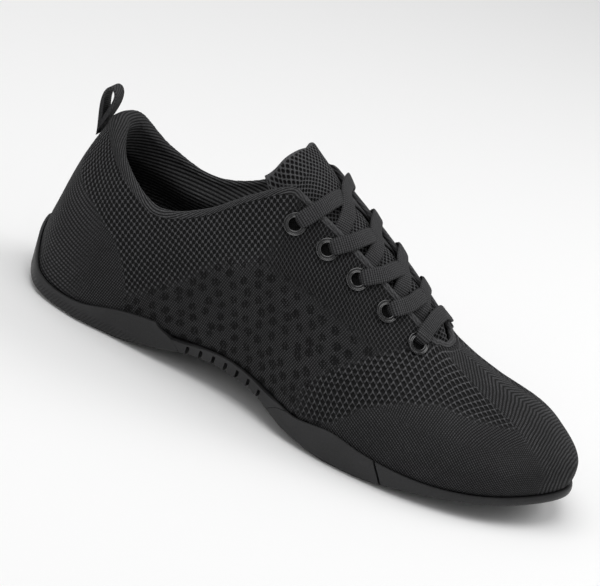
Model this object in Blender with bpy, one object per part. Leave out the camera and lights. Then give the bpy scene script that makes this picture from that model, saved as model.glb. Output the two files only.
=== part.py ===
"""Right cheerleading shoe: knit upper on a low cup sole with a split tread.

Frame: +X to the toe, +Y to the wearer's left (medial), +Z up, floor at z = 0.
Sizes below are millimetres; the meshes are made in metres.
"""
import math
from collections import namedtuple

import bmesh
import bpy
import numpy as np
from mathutils import Vector

MM = 0.001
WELD = 1e-7
NUDGE = 0.05
SEARCH_STEPS = 60

# Driving sizes of the shoe.
BOX_CENTRE_X = 125.99
BOX_CENTRE_Y = -1.03
GAP = 0.3
WALL = 2.0
COLLAR_WALL = 6.0
FEATHER_TUCK = 8.0
TURN_INSET = 1.2
TURN_RISE = 1.8
BELLY_RISE = 11.0
STEPS_PER_ROW = 3
STEPS_PER_LINE = (1, 2, 3, 2, 3)
LINING_LINES = (0.0, 1.0, 2.0, 3.0, 3.5, 4.0, 4.4, 4.7, 5.0)
RIM_ANGLES = (45.0, 90.0, 135.0)

# Stations round the last, heel back to toe tip: axis point, heading off the toe, tread, floor.
Station = namedtuple("Station", "base_x heading tread_z floor_z")
STATIONS = [
    Station(34.0, 180.0, 3.5, 6.5),
    Station(34.0, 135.0, 1.0, 5.5),
    Station(34.0, 90.0, 0.0, 5.0),
    Station(54.0, 90.0, 0.0, 6.5),
    Station(74.0, 90.0, 4.5, 11.0),
    Station(92.0, 90.0, 9.8, 13.6),
    Station(106.0, 90.0, 10.9, 14.5),
    Station(120.0, 90.0, 10.0, 13.6),
    Station(142.0, 90.0, 3.0, 9.5),
    Station(162.0, 90.0, 0.0, 6.5),
    Station(176.0, 90.0, 0.0, 5.5),
    Station(176.0, 55.0, 4.0, 6.2),
    Station(176.0, 25.0, 8.5, 10.2),
    Station(176.0, 0.0, 13.0, 14.6),
]

# Section of the upper at each station: reach from the axis and height of the named lines.
Section = namedtuple("Section", "wall_z belly_r flank_r flank_z shoulder_r shoulder_z edge_r edge_z")
LATERAL = [
    Section(24.5, 34.0, 30.8, 40.5, 26.0, 62.5, 20.3, 79.0),
    Section(9.5, 32.3, 31.0, 36.5, 27.5, 57.5, 21.2, 78.5),
    Section(8.0, 31.2, 31.0, 33.0, 29.0, 51.0, 26.0, 69.0),
    Section(13.5, 31.2, 31.5, 31.0, 31.0, 45.0, 29.8, 60.5),
    Section(17.0, 32.3, 33.0, 35.0, 32.5, 51.5, 30.3, 69.0),
    Section(16.5, 32.8, 34.0, 38.0, 33.5, 60.5, 28.7, 84.5),
    Section(17.0, 34.0, 35.0, 40.0, 33.5, 64.0, 25.0, 93.0),
    Section(16.0, 37.0, 36.5, 41.0, 33.0, 63.0, 21.8, 87.5),
    Section(11.8, 43.5, 41.0, 37.0, 32.0, 57.5, 19.3, 77.5),
    Section(14.3, 46.0, 41.5, 33.5, 30.0, 51.0, 15.5, 66.0),
    Section(11.8, 45.5, 40.0, 30.5, 27.0, 45.5, 12.0, 57.5),
    Section(9.8, 49.5, 43.5, 28.5, 28.0, 41.5, 9.5, 54.5),
    Section(12.4, 62.5, 54.0, 30.0, 32.0, 42.0, 8.5, 53.0),
    Section(17.0, 76.0, 63.0, 37.3, 34.5, 45.6, 8.0, 53.0),
]
MEDIAL = [
    Section(9.5, 32.3, 31.0, 36.5, 27.5, 57.5, 21.4, 77.0),
    Section(8.0, 31.2, 31.0, 33.0, 28.5, 50.0, 25.5, 65.3),
    Section(13.5, 30.0, 30.5, 32.0, 29.5, 46.0, 28.0, 60.5),
    Section(17.0, 28.5, 30.5, 36.0, 30.5, 51.5, 28.3, 67.5),
    Section(16.5, 27.5, 30.5, 41.0, 31.0, 62.0, 26.5, 82.5),
    Section(17.0, 28.5, 31.5, 42.0, 30.5, 66.0, 21.0, 92.0),
    Section(16.0, 32.0, 33.0, 41.5, 29.5, 64.0, 17.3, 86.8),
    Section(11.8, 39.0, 37.0, 37.0, 28.8, 57.5, 14.5, 76.5),
    Section(14.3, 42.5, 39.0, 34.0, 27.3, 51.2, 12.3, 65.5),
    Section(11.8, 43.5, 39.5, 31.5, 26.0, 46.3, 10.5, 57.2),
    Section(9.8, 52.5, 46.0, 29.5, 29.0, 42.5, 9.5, 53.8),
    Section(12.4, 70.0, 60.5, 33.3, 34.5, 43.6, 8.5, 53.0),
]
LINES = ("feather", "turn", "belly", "flank", "shoulder", "edge")
BELLY = 2.0
EDGE = len(LINES) - 1
ROWS = len(STATIONS) - 1
SIDEWAYS = 90.0
STRAIGHT = [k for k, row in enumerate(STATIONS) if row.heading == SIDEWAYS]
STRAIGHT_X = [STATIONS[k].base_x for k in STRAIGHT]
WRAP = 3

# Collar padding fades out between these stations.
PAD_FULL_STATION = 4.0
PAD_END_STATION = 5.8
PAD_START_LINE = 3.4

# Cup sole.
SOLE_LEDGE = 1.4
WALL_TOP = 1.3
SIDE_SHAPE = ((0.55, 0.0), (0.15, 0.2), (0.0, 2.2), (0.0, 6.0))
SEAT_GAP = 0.38
SEAT_SHARES = (0.0, 0.4, 0.72, 1.0)
WALL_LOW_LINE = 1.1
WALL_HIGH_LINE = 3.4
SOLE_CROSS_STEPS = 3
INSOLE_CROSS_STEPS = 2
INSOLE_MARGIN = 0.8
INSOLE_THICK = 3.5

# Cuts between the tread pods and the arch bridge, as x and z down the seam.
Seam = namedtuple("Seam", "x z")
HEEL_SEAM = [
    Seam(66.0, 30.0),
    Seam(68.5, 20.0),
    Seam(73.0, 15.5),
    Seam(80.0, 12.8),
    Seam(86.0, 8.0),
    Seam(90.0, 0.0),
    Seam(92.0, -5.0),
]
FORE_SEAM = [
    Seam(148.0, 30.0),
    Seam(146.0, 15.0),
    Seam(141.0, 12.4),
    Seam(134.0, 10.6),
    Seam(130.0, 7.0),
    Seam(128.0, 0.0),
    Seam(127.0, -5.0),
]
# Top of the arch bridge between the seams, and where its outline leaves each seam.
ARCH_TOP = [
    Seam(86.0, 13.7),
    Seam(92.0, 15.0),
    Seam(106.0, 16.6),
    Seam(120.0, 15.4),
    Seam(128.0, 13.7),
]
ARCH_HEEL_START = 3
ARCH_FORE_START = 2
SEAM_REACH = 60.0
HEEL_END_X = -40.0
TOE_END_X = 300.0

# Grooves across the arch bridge.
GROOVES = 7
GROOVE_FIRST_X = 88.3
GROOVE_PITCH = 6.1
GROOVE_WIDTH = 1.3
GROOVE_DEPTH = 2.0
COMB_BASE_Z = -3.0
COMB_BACK = 1.0

# Flex slit in the side of the forefoot pod.
SLIT_X = 189.0
SLIT_WIDTH = 1.0
SLIT_DEPTH = 3.0
SLIT_LEAN = 13.0
SLIT_LOW_Z = -1.0
SLIT_HIGH_Z = 20.0

# Eyelets and laces.
EYELETS = 5
EYELET_FIRST_X = 112.0
EYELET_PITCH = 15.75
EYELET_FROM_EDGE = (10.7, 8.6, 8.1, 7.8, 7.2)
EYELET_HOLE = 3.55
EYELET_BORE = 2.5
EYELET_FLANGE = 4.75
EYELET_SIDES = 12
EYELET_LIP = 1.3
EYELET_TAIL = 0.4
EYELET_SEAT = 0.35
EYELET_RIM = 1.0
EYELET_RIM_BEVEL = 0.3
EYELET_CREST = 0.6
EYELET_MOUTH = 0.9
EYELET_SEARCH_LINE = 3.5
LACE_ROOM = 2.8
LACE_WIDTH = 7.0
LACE_THICK = 1.4
LACE_RUNS = (1.1, 1.1, 1.1, 0.7, 0.0)
LACE_EDGE_SHARE = 0.25
LACE_RIDGE_SHARE = 0.7
LACE_LIFT = 0.9
LACE_JOIN = 0.15
LACE_STEPS = 13
# Far half of a crossing: share of its run, points across from the ridge, on top of the tongue or tucked.
Tuck = namedtuple("Tuck", "share index on_top")
LACE_TUCK = [Tuck(0.87, 0.5, True), Tuck(1.0, 1.0, False), Tuck(1.0, 1.5, False)]

# Tongue: ridge height over the station axis, extension past the throat, thickness.
Ridge = namedtuple("Ridge", "station y z")
TONGUE = [
    Ridge(6.0, 0.0, 101.5),
    Ridge(7.0, 0.0, 91.3),
    Ridge(8.0, 0.0, 79.2),
    Ridge(9.0, 0.5, 68.8),
    Ridge(10.0, 1.0, 60.0),
]
TONGUE_THICK = 3.0
TONGUE_TOP_RUN = 8.0
TONGUE_CORNER_RUN = 7.0
TONGUE_TOP_NARROW = 0.2
TONGUE_CORNER_LIFT = 8.0
TONGUE_TOP_SHARES = (0.5, 1.0)
TONGUE_SLOPE = 0.56
TONGUE_SIDE_LINE = 4.45
TONGUE_STEPS = 3
TONGUE_CROSS_STEPS = 12
RIDGE_INDEX = 3
# Toe end of the tongue under the vamp: run past the last ridge, share of its arch kept, drop, width kept.
TongueEnd = namedtuple("TongueEnd", "run arch drop narrow")
TONGUE_ENDS = [
    TongueEnd(4.0, 0.68, 1.5, 0.93),
    TongueEnd(8.0, 0.34, 3.0, 0.82),
    TongueEnd(15.0, 0.16, 4.0, 0.66),
]

# Heel pull loop, as a teardrop in the centre plane.
LOOP_WIDTH = 7.5
LOOP_STRAP = 1.3
LOOP_LINE = 4.35
LOOP_RISE = 23.0
LOOP_BELLY = 6.6
LOOP_EYE_LOW = 8.0
LOOP_LEAN = 0.04
LOOP_STEP_OFF = 0.5
LOOP_STEPS = 16
TEARDROP_HALF = 2 / (3 * math.sqrt(3))


def hermite(knots, points, at):
    """Smooth open curve through points; knots give its pace."""
    knots = np.asarray(knots, float)
    points = np.asarray(points, float)
    slope = np.diff(points, axis=0) / np.diff(knots)[:, None]
    step = np.diff(knots)
    tangent = np.empty_like(points)
    before, after = step[:-1, None], step[1:, None]
    tangent[1:-1] = (slope[:-1] * after + slope[1:] * before) / (before + after)
    tangent[0] = 1.5 * slope[0] - 0.5 * tangent[1]
    tangent[-1] = 1.5 * slope[-1] - 0.5 * tangent[-2]
    at = np.atleast_1d(at)
    seg = np.clip(np.searchsorted(knots, at, side="right") - 1, 0, len(knots) - 2)
    width = step[seg]
    t = ((at - knots[seg]) / width)[:, None]
    width = width[:, None]
    start = (1 + 2 * t) * (1 - t) ** 2 * points[seg] + t * (1 - t) ** 2 * width * tangent[seg]
    end = t * t * (3 - 2 * t) * points[seg + 1] + t * t * (t - 1) * width * tangent[seg + 1]
    return start + end


def chord_knots(points):
    return np.concatenate([[0.0], np.cumsum(np.linalg.norm(np.diff(points, axis=0), axis=1))])


def named_points(station, section, side):
    """The six named points of one section; side is -1 lateral, +1 medial."""
    heading = math.radians(station.heading) * side
    out = (math.cos(heading), math.sin(heading))
    floor = station.floor_z
    spots = (
        (section.belly_r - FEATHER_TUCK, floor + GAP),
        (section.belly_r - TURN_INSET, floor + TURN_RISE),
        (section.belly_r, floor + BELLY_RISE),
        (section.flank_r, section.flank_z),
        (section.shoulder_r, section.shoulder_z),
        (section.edge_r, section.edge_z),
    )
    return [(station.base_x + r * out[0], r * out[1], z) for r, z in spots]


def last_rows():
    """Named points and sole heights round the whole last, lateral side first."""
    rows = [named_points(st, se, -1) for st, se in zip(STATIONS, LATERAL)]
    back = list(zip(STATIONS[1:-1], MEDIAL))[::-1]
    rows += [named_points(st, se, 1) for st, se in back]
    heights = [(st.tread_z, st.floor_z, se.wall_z) for st, se in zip(STATIONS, LATERAL)]
    heights += [(st.tread_z, st.floor_z, se.wall_z) for st, se in back]
    return np.array(rows), np.array(heights)


LAST, HEIGHTS = last_rows()
TURNS = len(LAST)


def round_the_last(values, at):
    """Smooth closed curve through one value per row, paced by the belly line."""
    wrap = np.arange(-WRAP, TURNS + WRAP + 1) % TURNS
    pace = np.linalg.norm(np.diff(LAST[wrap][:, int(BELLY)], axis=0), axis=1)
    knots = np.concatenate([[0.0], np.cumsum(pace)])
    at = np.asarray(at, float) % TURNS + WRAP
    whole = np.floor(at).astype(int)
    return hermite(knots, values[wrap], knots[whole] + (at - whole) * pace[whole])


def column(at):
    """The six named points at one place round the last (0 heel back, ROWS toe tip)."""
    return round_the_last(LAST.reshape(TURNS, -1), [at]).reshape(len(LINES), 3)


def sole_heights(at):
    tread, floor, wall = round_the_last(HEIGHTS, [at])[0]
    return max(tread, 0.0), floor, wall


def skin(at, line):
    """Point on the outside of the upper; line runs 0 at the feather to EDGE at the top edge."""
    points = column(at)
    knots = chord_knots(points)
    return hermite(knots, points, np.interp(line, np.arange(len(LINES)), knots))[0]


def skin_normal(at, line):
    """Outward unit normal of the upper's outside."""
    low = max(line - NUDGE, 0.0)
    high = min(line + NUDGE, float(EDGE))
    along = skin(at + NUDGE, line) - skin(at - NUDGE, line)
    up = skin(at, high) - skin(at, low)
    normal = np.cross(along, up)
    return normal / np.linalg.norm(normal)


def station_of_x(x):
    """Station number on the straight part of the axis."""
    return float(np.interp(x, STRAIGHT_X, STRAIGHT))


def side_place(station, side):
    """Place round the last for a station on one side."""
    return station if side < 0 else 2 * ROWS - station


def to_world(point):
    return Vector(((point[0] - BOX_CENTRE_X) * MM, (point[1] - BOX_CENTRE_Y) * MM, point[2] * MM))


def smooth_step(value):
    value = min(max(value, 0.0), 1.0)
    return value * value * (3 - 2 * value)


def clear_scene():
    for obj in list(bpy.data.objects):
        bpy.data.objects.remove(obj, do_unlink=True)


def material(name, colour, roughness, metallic=0.0):
    made = bpy.data.materials.new(name)
    made.use_nodes = True
    shader = made.node_tree.nodes["Principled BSDF"]
    shader.inputs["Base Color"].default_value = (*colour, 1.0)
    shader.inputs["Roughness"].default_value = roughness
    shader.inputs["Metallic"].default_value = metallic
    made.diffuse_color = (*colour, 1.0)
    return made


def finish(name, bm, mat):
    """Turn a bmesh into a named object with outward faces."""
    bmesh.ops.recalc_face_normals(bm, faces=bm.faces[:])
    mesh = bpy.data.meshes.new(name)
    bm.to_mesh(mesh)
    bm.free()
    if mat:
        mesh.materials.append(mat)
    obj = bpy.data.objects.new(name, mesh)
    bpy.context.collection.objects.link(obj)
    return obj


def cutter(name, bm):
    obj = finish(name, bm, None)
    obj.hide_render = True
    obj.display_type = "WIRE"
    return obj


def cut(obj, tool, operation="DIFFERENCE"):
    mod = obj.modifiers.new(tool.name, "BOOLEAN")
    mod.operation = operation
    mod.solver = "EXACT"
    mod.object = tool


def add_loops(bm, loops, closed=True):
    """Skin a list of equal point loops with quads; returns the vertex rows."""
    rows = [[bm.verts.new(to_world(p)) for p in loop] for loop in loops]
    count = len(rows[0])
    last = count if closed else count - 1
    for low, high in zip(rows[:-1], rows[1:]):
        for i in range(last):
            j = (i + 1) % count
            bm.faces.new((low[i], low[j], high[j], high[i]))
    return rows


def bridge_across(bm, ring, cross_steps):
    """Close a ring that runs heel, lateral, toe, medial with rungs across the shoe."""
    count = len(ring)
    half = count // 2
    rungs = []
    for i in range(1, half):
        a, b = ring[i], ring[count - i]
        mids = [bm.verts.new(a.co.lerp(b.co, k / cross_steps)) for k in range(1, cross_steps)]
        rungs.append([a, *mids, b])
    for first, second in zip(rungs[:-1], rungs[1:]):
        for k in range(cross_steps):
            bm.faces.new((first[k], first[k + 1], second[k + 1], second[k]))
    for tip, rung in ((ring[0], rungs[0]), (ring[half], rungs[-1])):
        for k in range(cross_steps):
            bm.faces.new((tip, rung[k], rung[k + 1]))


def sweep(bm, centres, normals, width, thick):
    """Flat rounded strap along centres, closed at both ends."""
    centres = np.array(centres)
    tangents = np.gradient(centres, axis=0)
    loops = []
    for centre, normal, tangent in zip(centres, normals, tangents):
        across = np.cross(normal, tangent)
        across = across / np.linalg.norm(across)
        lift = np.cross(tangent, across)
        lift = lift / np.linalg.norm(lift)
        half, rise = width / 2, thick / 2
        flat = half - rise
        shape = ((-flat, -rise), (flat, -rise), (half, 0.0), (flat, rise), (-flat, rise), (-half, 0.0))
        loops.append([centre + a * across + b * lift for a, b in shape])
    rows = add_loops(bm, loops)
    bm.faces.new(rows[0])
    bm.faces.new(rows[-1])


PLACES = [k / STEPS_PER_ROW for k in range(TURNS * STEPS_PER_ROW)]


def profile_lines():
    lines = [0.0]
    for start, steps in enumerate(STEPS_PER_LINE):
        lines += [start + (k + 1) / steps for k in range(steps)]
    return lines


def wall_thickness(at, line):
    """Wall of the upper, padded towards the collar round the heel and ankle."""
    station = min(at, 2 * ROWS - at)
    pad = 1.0 - smooth_step((station - PAD_FULL_STATION) / (PAD_END_STATION - PAD_FULL_STATION))
    rise = smooth_step((line - PAD_START_LINE) / (EDGE - PAD_START_LINE))
    return WALL + (COLLAR_WALL - WALL) * pad * rise


def lining(at, line):
    """Point on the inside of the upper."""
    return skin(at, line) - skin_normal(at, line) * wall_thickness(at, line)


def build_upper(mat):
    """Hollow upper: outside, rounded rim at the collar and throat, inside, open underneath."""
    bm = bmesh.new()
    outer = [[skin(at, line) for at in PLACES] for line in profile_lines()]
    inner = [[lining(at, line) for at in PLACES] for line in LINING_LINES]
    rim = [[] for _ in RIM_ANGLES]
    for at, out, inn in zip(PLACES, outer[-1], inner[-1]):
        middle = (out + inn) / 2
        side = (out - inn) / 2
        up = skin(at, EDGE) - skin(at, EDGE - NUDGE)
        up = up / np.linalg.norm(up) * np.linalg.norm(side)
        for ring, angle in zip(rim, RIM_ANGLES):
            turn = math.radians(angle)
            ring.append(middle + side * math.cos(turn) + up * math.sin(turn))
    loops = outer + rim + inner[::-1]
    add_loops(bm, loops + [loops[0]])
    bmesh.ops.remove_doubles(bm, verts=bm.verts[:], dist=WELD)
    return finish("upper", bm, mat)


def wall_line(at, height):
    """Line on the upper whose height is the top of the sole wall."""
    lines = np.linspace(WALL_LOW_LINE, WALL_HIGH_LINE, SEARCH_STEPS)
    heights = [skin(at, line)[2] for line in lines]
    return float(np.interp(height, heights, lines))


def level_out(at):
    """Outward direction in plan at the belly line."""
    flat = skin_normal(at, BELLY) * (1, 1, 0)
    return flat / np.linalg.norm(flat)


def sole_loops():
    """Rings of the cup sole from the tray floor, over the wall, to the tread edge."""
    columns = []
    for at in PLACES:
        tread, floor, wall = sole_heights(at)
        top = wall_line(at, wall)
        corner = skin(at, 0.0)
        ring = [np.array((corner[0], corner[1], floor))]
        for share in SEAT_SHARES:
            line = 1.0 + (top - 1.0) * share
            ring.append(skin(at, line) + skin_normal(at, line) * SEAT_GAP)
        out = level_out(at)
        ring.append(ring[-1] + out * WALL_TOP)
        side = skin(at, BELLY) + out * SOLE_LEDGE
        for share, inset in SIDE_SHAPE:
            height = tread + (min(wall, floor + BELLY_RISE) - tread) * share
            ring.append(np.array((*(side - out * inset)[:2], height)))
        columns.append(ring)
    return list(zip(*columns))


def prism(bm, outline, y_low, y_high):
    """Extrude an x, z outline along Y."""
    ends = [[(x, y, z) for x, z in outline] for y in (y_low, y_high)]
    rows = add_loops(bm, ends)
    bm.faces.new(rows[0])
    bm.faces.new(rows[1])


def bridge_wedge(name, spread):
    """Block between the two seams and under the top of the bridge, grown or shrunk by spread."""
    bm = bmesh.new()
    heel = [(x - spread, z) for x, z in HEEL_SEAM[ARCH_HEEL_START:]]
    fore = [(x + spread, z) for x, z in FORE_SEAM[ARCH_FORE_START:]]
    prism(bm, heel + fore[::-1] + ARCH_TOP[::-1], -SEAM_REACH, SEAM_REACH)
    return cutter(name, bm)


def half_block(name, seam, far_x, shift):
    """Block from a seam to one end of the shoe."""
    bm = bmesh.new()
    line = [(x + shift, z) for x, z in seam]
    prism(bm, line + [(far_x, seam[-1][1]), (far_x, seam[0][1])], -SEAM_REACH, SEAM_REACH)
    return cutter(name, bm)


def groove_comb():
    """Comb standing under the arch whose teeth cut the grooves."""
    bm = bmesh.new()
    outline = [(GROOVE_FIRST_X - GROOVE_PITCH, COMB_BASE_Z)]
    for k in range(GROOVES):
        x = GROOVE_FIRST_X + k * GROOVE_PITCH
        top = sole_heights(station_of_x(x))[0] + GROOVE_DEPTH
        half = GROOVE_WIDTH / 2
        root = COMB_BASE_Z + COMB_BACK
        outline += [(x - half, root), (x - half, top), (x + half, top), (x + half, root)]
    outline.append((GROOVE_FIRST_X + GROOVES * GROOVE_PITCH, COMB_BASE_Z))
    prism(bm, outline, -SEAM_REACH, SEAM_REACH)
    return cutter("cut_grooves", bm)


def flex_slit():
    """Leaning slot in the lateral side of the forefoot pod."""
    bm = bmesh.new()
    reach = -skin(station_of_x(SLIT_X), BELLY)[1] + SOLE_LEDGE
    outline = [(SLIT_X, SLIT_LOW_Z), (SLIT_X + SLIT_WIDTH, SLIT_LOW_Z)]
    outline += [(SLIT_X + SLIT_WIDTH - SLIT_LEAN, SLIT_HIGH_Z), (SLIT_X - SLIT_LEAN, SLIT_HIGH_Z)]
    prism(bm, outline, -reach - SLIT_DEPTH, -reach + SLIT_DEPTH)
    return cutter("cut_flex_slit", bm)


def build_sole(mats):
    """The cup sole, parted at the seams into heel pod, arch bridge and forefoot pod."""
    made = {}
    for name in ("outsole_heel", "midsole_arch", "outsole_forefoot"):
        bm = bmesh.new()
        rows = add_loops(bm, sole_loops())
        for ring in (rows[0], rows[-1]):
            bridge_across(bm, ring, SOLE_CROSS_STEPS)
        made[name] = finish(name, bm, mats[name])
    half = GAP / 2
    cut(made["outsole_heel"], half_block("keep_heel", HEEL_SEAM, HEEL_END_X, -half), "INTERSECT")
    cut(made["outsole_forefoot"], half_block("keep_forefoot", FORE_SEAM, TOE_END_X, half), "INTERSECT")
    cut(made["midsole_arch"], bridge_wedge("keep_arch", -half), "INTERSECT")
    cut(made["midsole_arch"], groove_comb())
    cut(made["outsole_forefoot"], flex_slit())
    return made


def build_insole(mat):
    bm = bmesh.new()
    loops = [[], []]
    for at in PLACES:
        floor = sole_heights(at)[1]
        base = skin(at, 0.0)
        spot = base - level_out(at) * INSOLE_MARGIN
        for loop, rise in zip(loops, (GAP, GAP + INSOLE_THICK)):
            loop.append((spot[0], spot[1], floor + rise))
    rows = add_loops(bm, loops)
    for ring in rows:
        bridge_across(bm, ring, INSOLE_CROSS_STEPS)
    return finish("insole", bm, mat)


def tongue_section(station, depth):
    """Seven points across the tongue at a station, depth below the upper's outside."""
    ridge = hermite([r.station for r in TONGUE], [(r.y, r.z) for r in TONGUE], station)[0]
    base_x = np.interp(station, STRAIGHT, STRAIGHT_X)
    lines = (TONGUE_SIDE_LINE, (TONGUE_SIDE_LINE + EDGE) / 2, EDGE)
    sides = []
    for side in (-1, 1):
        at = side_place(station, side)
        sides.append([skin(at, line) - skin_normal(at, line) * depth for line in lines])
    crown = np.array((base_x, ridge[0], ridge[1] - depth + WALL + LACE_ROOM))
    return np.array(sides[0] + [crown] + sides[1][::-1])


def tongue_face(station, index):
    """Point and upward normal on the tongue's top; index counts the seven points across."""
    spots = []
    for step, shift in ((0.0, 0.0), (-NUDGE, 0.0), (NUDGE, 0.0), (0.0, -NUDGE), (0.0, NUDGE)):
        points = tongue_section(min(station + step, TONGUE[-1].station), WALL + LACE_ROOM)
        knots = chord_knots(points)
        spots.append(hermite(knots, points, np.interp(index + shift, range(len(points)), knots))[0])
    normal = np.cross(spots[2] - spots[1], spots[4] - spots[3])
    normal = normal / np.linalg.norm(normal)
    return spots[0], normal * np.sign(normal[2])


def build_tongue(mat):
    bm = bmesh.new()
    loops = []
    count = (len(TONGUE) - 1) * TONGUE_STEPS + 1
    for station in np.linspace(TONGUE[0].station, TONGUE[-1].station, count):
        faces = []
        for depth in (WALL + LACE_ROOM, WALL + LACE_ROOM + TONGUE_THICK):
            points = tongue_section(station, depth)
            knots = chord_knots(points)
            faces.append(hermite(knots, points, np.linspace(0.0, knots[-1], TONGUE_CROSS_STEPS + 1)))
        loops.append(list(faces[0]) + list(faces[1][::-1]))
    across = np.linspace(-1.0, 1.0, TONGUE_CROSS_STEPS + 1) ** 2
    across = np.concatenate([across, across[::-1]])
    first = loops[0]
    for share in TONGUE_TOP_SHARES:
        top = []
        for spot, corner in zip(first, across):
            run = (TONGUE_TOP_RUN + TONGUE_CORNER_RUN * corner) * share
            narrow = spot[1] * TONGUE_TOP_NARROW * share
            rise = run * TONGUE_SLOPE + TONGUE_CORNER_LIFT * corner * share
            top.append(spot + np.array((-run, -narrow, rise)))
        loops.insert(0, top)
    last = np.array(loops[-1])
    top = last[: TONGUE_CROSS_STEPS + 1, 2]
    arch = np.concatenate([top, top[::-1]]) - top.min()
    for end in TONGUE_ENDS:
        loop = last * (1.0, end.narrow, 1.0)
        loop[:, 0] += end.run
        loop[:, 2] -= arch * (1.0 - end.arch) + end.drop
        loops.append(list(loop))
    rows = add_loops(bm, loops)
    for row in (rows[0], rows[-1]):
        for k in range(TONGUE_CROSS_STEPS):
            bm.faces.new((row[k], row[k + 1], row[-2 - k], row[-1 - k]))
    return finish("tongue", bm, mat)


def eyelet_place(number, side):
    """Place and line of an eyelet, measured down from the throat edge."""
    at = side_place(station_of_x(EYELET_FIRST_X + number * EYELET_PITCH), side)
    lines = np.linspace(EDGE, EYELET_SEARCH_LINE, SEARCH_STEPS)
    points = np.array([skin(at, line) for line in lines])
    return at, float(np.interp(EYELET_FROM_EDGE[number], chord_knots(points), lines))


def circles(centre, normal, profile):
    """Circles about a normal, one for each radius and height of the profile."""
    normal = Vector(normal)
    side = normal.orthogonal().normalized()
    other = normal.cross(side)
    turns = [2 * math.pi * k / EYELET_SIDES for k in range(EYELET_SIDES)]
    loops = []
    for radius, height in profile:
        spot = Vector(centre) + normal * height
        loops.append([spot + (side * math.cos(t) + other * math.sin(t)) * radius for t in turns])
    return loops


def turned(bm, centre, normal, profile):
    """Closed ring turned about a normal."""
    loops = circles(centre, normal, profile)
    add_loops(bm, loops + [loops[0]])
    bmesh.ops.remove_doubles(bm, verts=bm.verts[:], dist=WELD)


def punch(bm, centre, normal, radius, reach):
    """Cylinder through the wall, for cutting a hole."""
    rows = add_loops(bm, circles(centre, normal, ((radius, -reach), (radius, reach))))
    bm.faces.new(rows[0])
    bm.faces.new(rows[1])


def build_eyelets(upper, mat):
    profile = (
        (EYELET_BORE, -WALL - EYELET_TAIL),
        (EYELET_HOLE - GAP, -WALL - EYELET_TAIL),
        (EYELET_HOLE - GAP, EYELET_SEAT),
        (EYELET_FLANGE, EYELET_SEAT),
        (EYELET_FLANGE - EYELET_RIM_BEVEL, EYELET_RIM),
        (EYELET_BORE + EYELET_CREST, EYELET_LIP),
        (EYELET_BORE, EYELET_MOUTH),
    )
    holes = bmesh.new()
    for side, word in ((-1, "lateral"), (1, "medial")):
        for number in range(EYELETS):
            at, line = eyelet_place(number, side)
            centre, normal = skin(at, line), skin_normal(at, line)
            bm = bmesh.new()
            turned(bm, centre, normal, profile)
            finish(f"eyelet_{word}_{number + 1}", bm, mat)
            punch(holes, centre, normal, EYELET_HOLE, 2 * WALL)
    cut(upper, cutter("cut_eyelet_holes", holes))


def strap_path(number, side, level):
    """Lace strap from an eyelet, over the ridge, under the far edge or to the far eyelet."""
    run = LACE_RUNS[number]
    here = station_of_x(EYELET_FIRST_X + number * EYELET_PITCH)
    there = station_of_x(EYELET_FIRST_X + (number + run) * EYELET_PITCH)
    clear = EYELET_LIP + GAP + LACE_THICK / 2

    def over_edge(side, share):
        at, line = eyelet_place(number, side)
        edge = side_place(here + (there - here) * share, side)
        return [
            (skin(at, line) + skin_normal(at, line) * clear, skin_normal(at, line)),
            (skin(edge, EDGE) + skin_normal(edge, EDGE) * clear, skin_normal(edge, EDGE)),
        ]

    def on_tongue(share, index, level):
        spot, up = tongue_face(here + (there - here) * share, RIDGE_INDEX - side * index)
        return spot + up * level, up

    spots = over_edge(side, LACE_EDGE_SHARE)
    spots.append(on_tongue(LACE_RIDGE_SHARE, 0.0, level))
    if run:
        for tuck in LACE_TUCK:
            height = level if tuck.on_top else LACE_ROOM / 2
            spots.append(on_tongue(tuck.share, tuck.index, height))
    else:
        spots += over_edge(-side, 0.0)[::-1]
    points = np.array([p for p, _ in spots])
    knots = chord_knots(points)
    at = np.linspace(0.0, knots[-1], LACE_STEPS + 1)
    return hermite(knots, points, at), hermite(knots, np.array([n for _, n in spots]), at)


def build_laces(mat):
    """Four crossings, the medial strap over the lateral one, and the bar at the toe end."""
    low = LACE_LIFT + LACE_THICK / 2
    high = low + LACE_THICK - LACE_JOIN
    for number in range(EYELETS - 1):
        bm = bmesh.new()
        sweep(bm, *strap_path(number, -1, low), LACE_WIDTH, LACE_THICK)
        under = finish(f"lace_cross_{number + 1}", bm, mat)
        bm = bmesh.new()
        sweep(bm, *strap_path(number, 1, high), LACE_WIDTH, LACE_THICK)
        cut(under, cutter(f"join_lace_{number + 1}", bm), "UNION")
    bm = bmesh.new()
    sweep(bm, *strap_path(EYELETS - 1, -1, high), LACE_WIDTH, LACE_THICK)
    finish("lace_bar", bm, mat)


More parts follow.
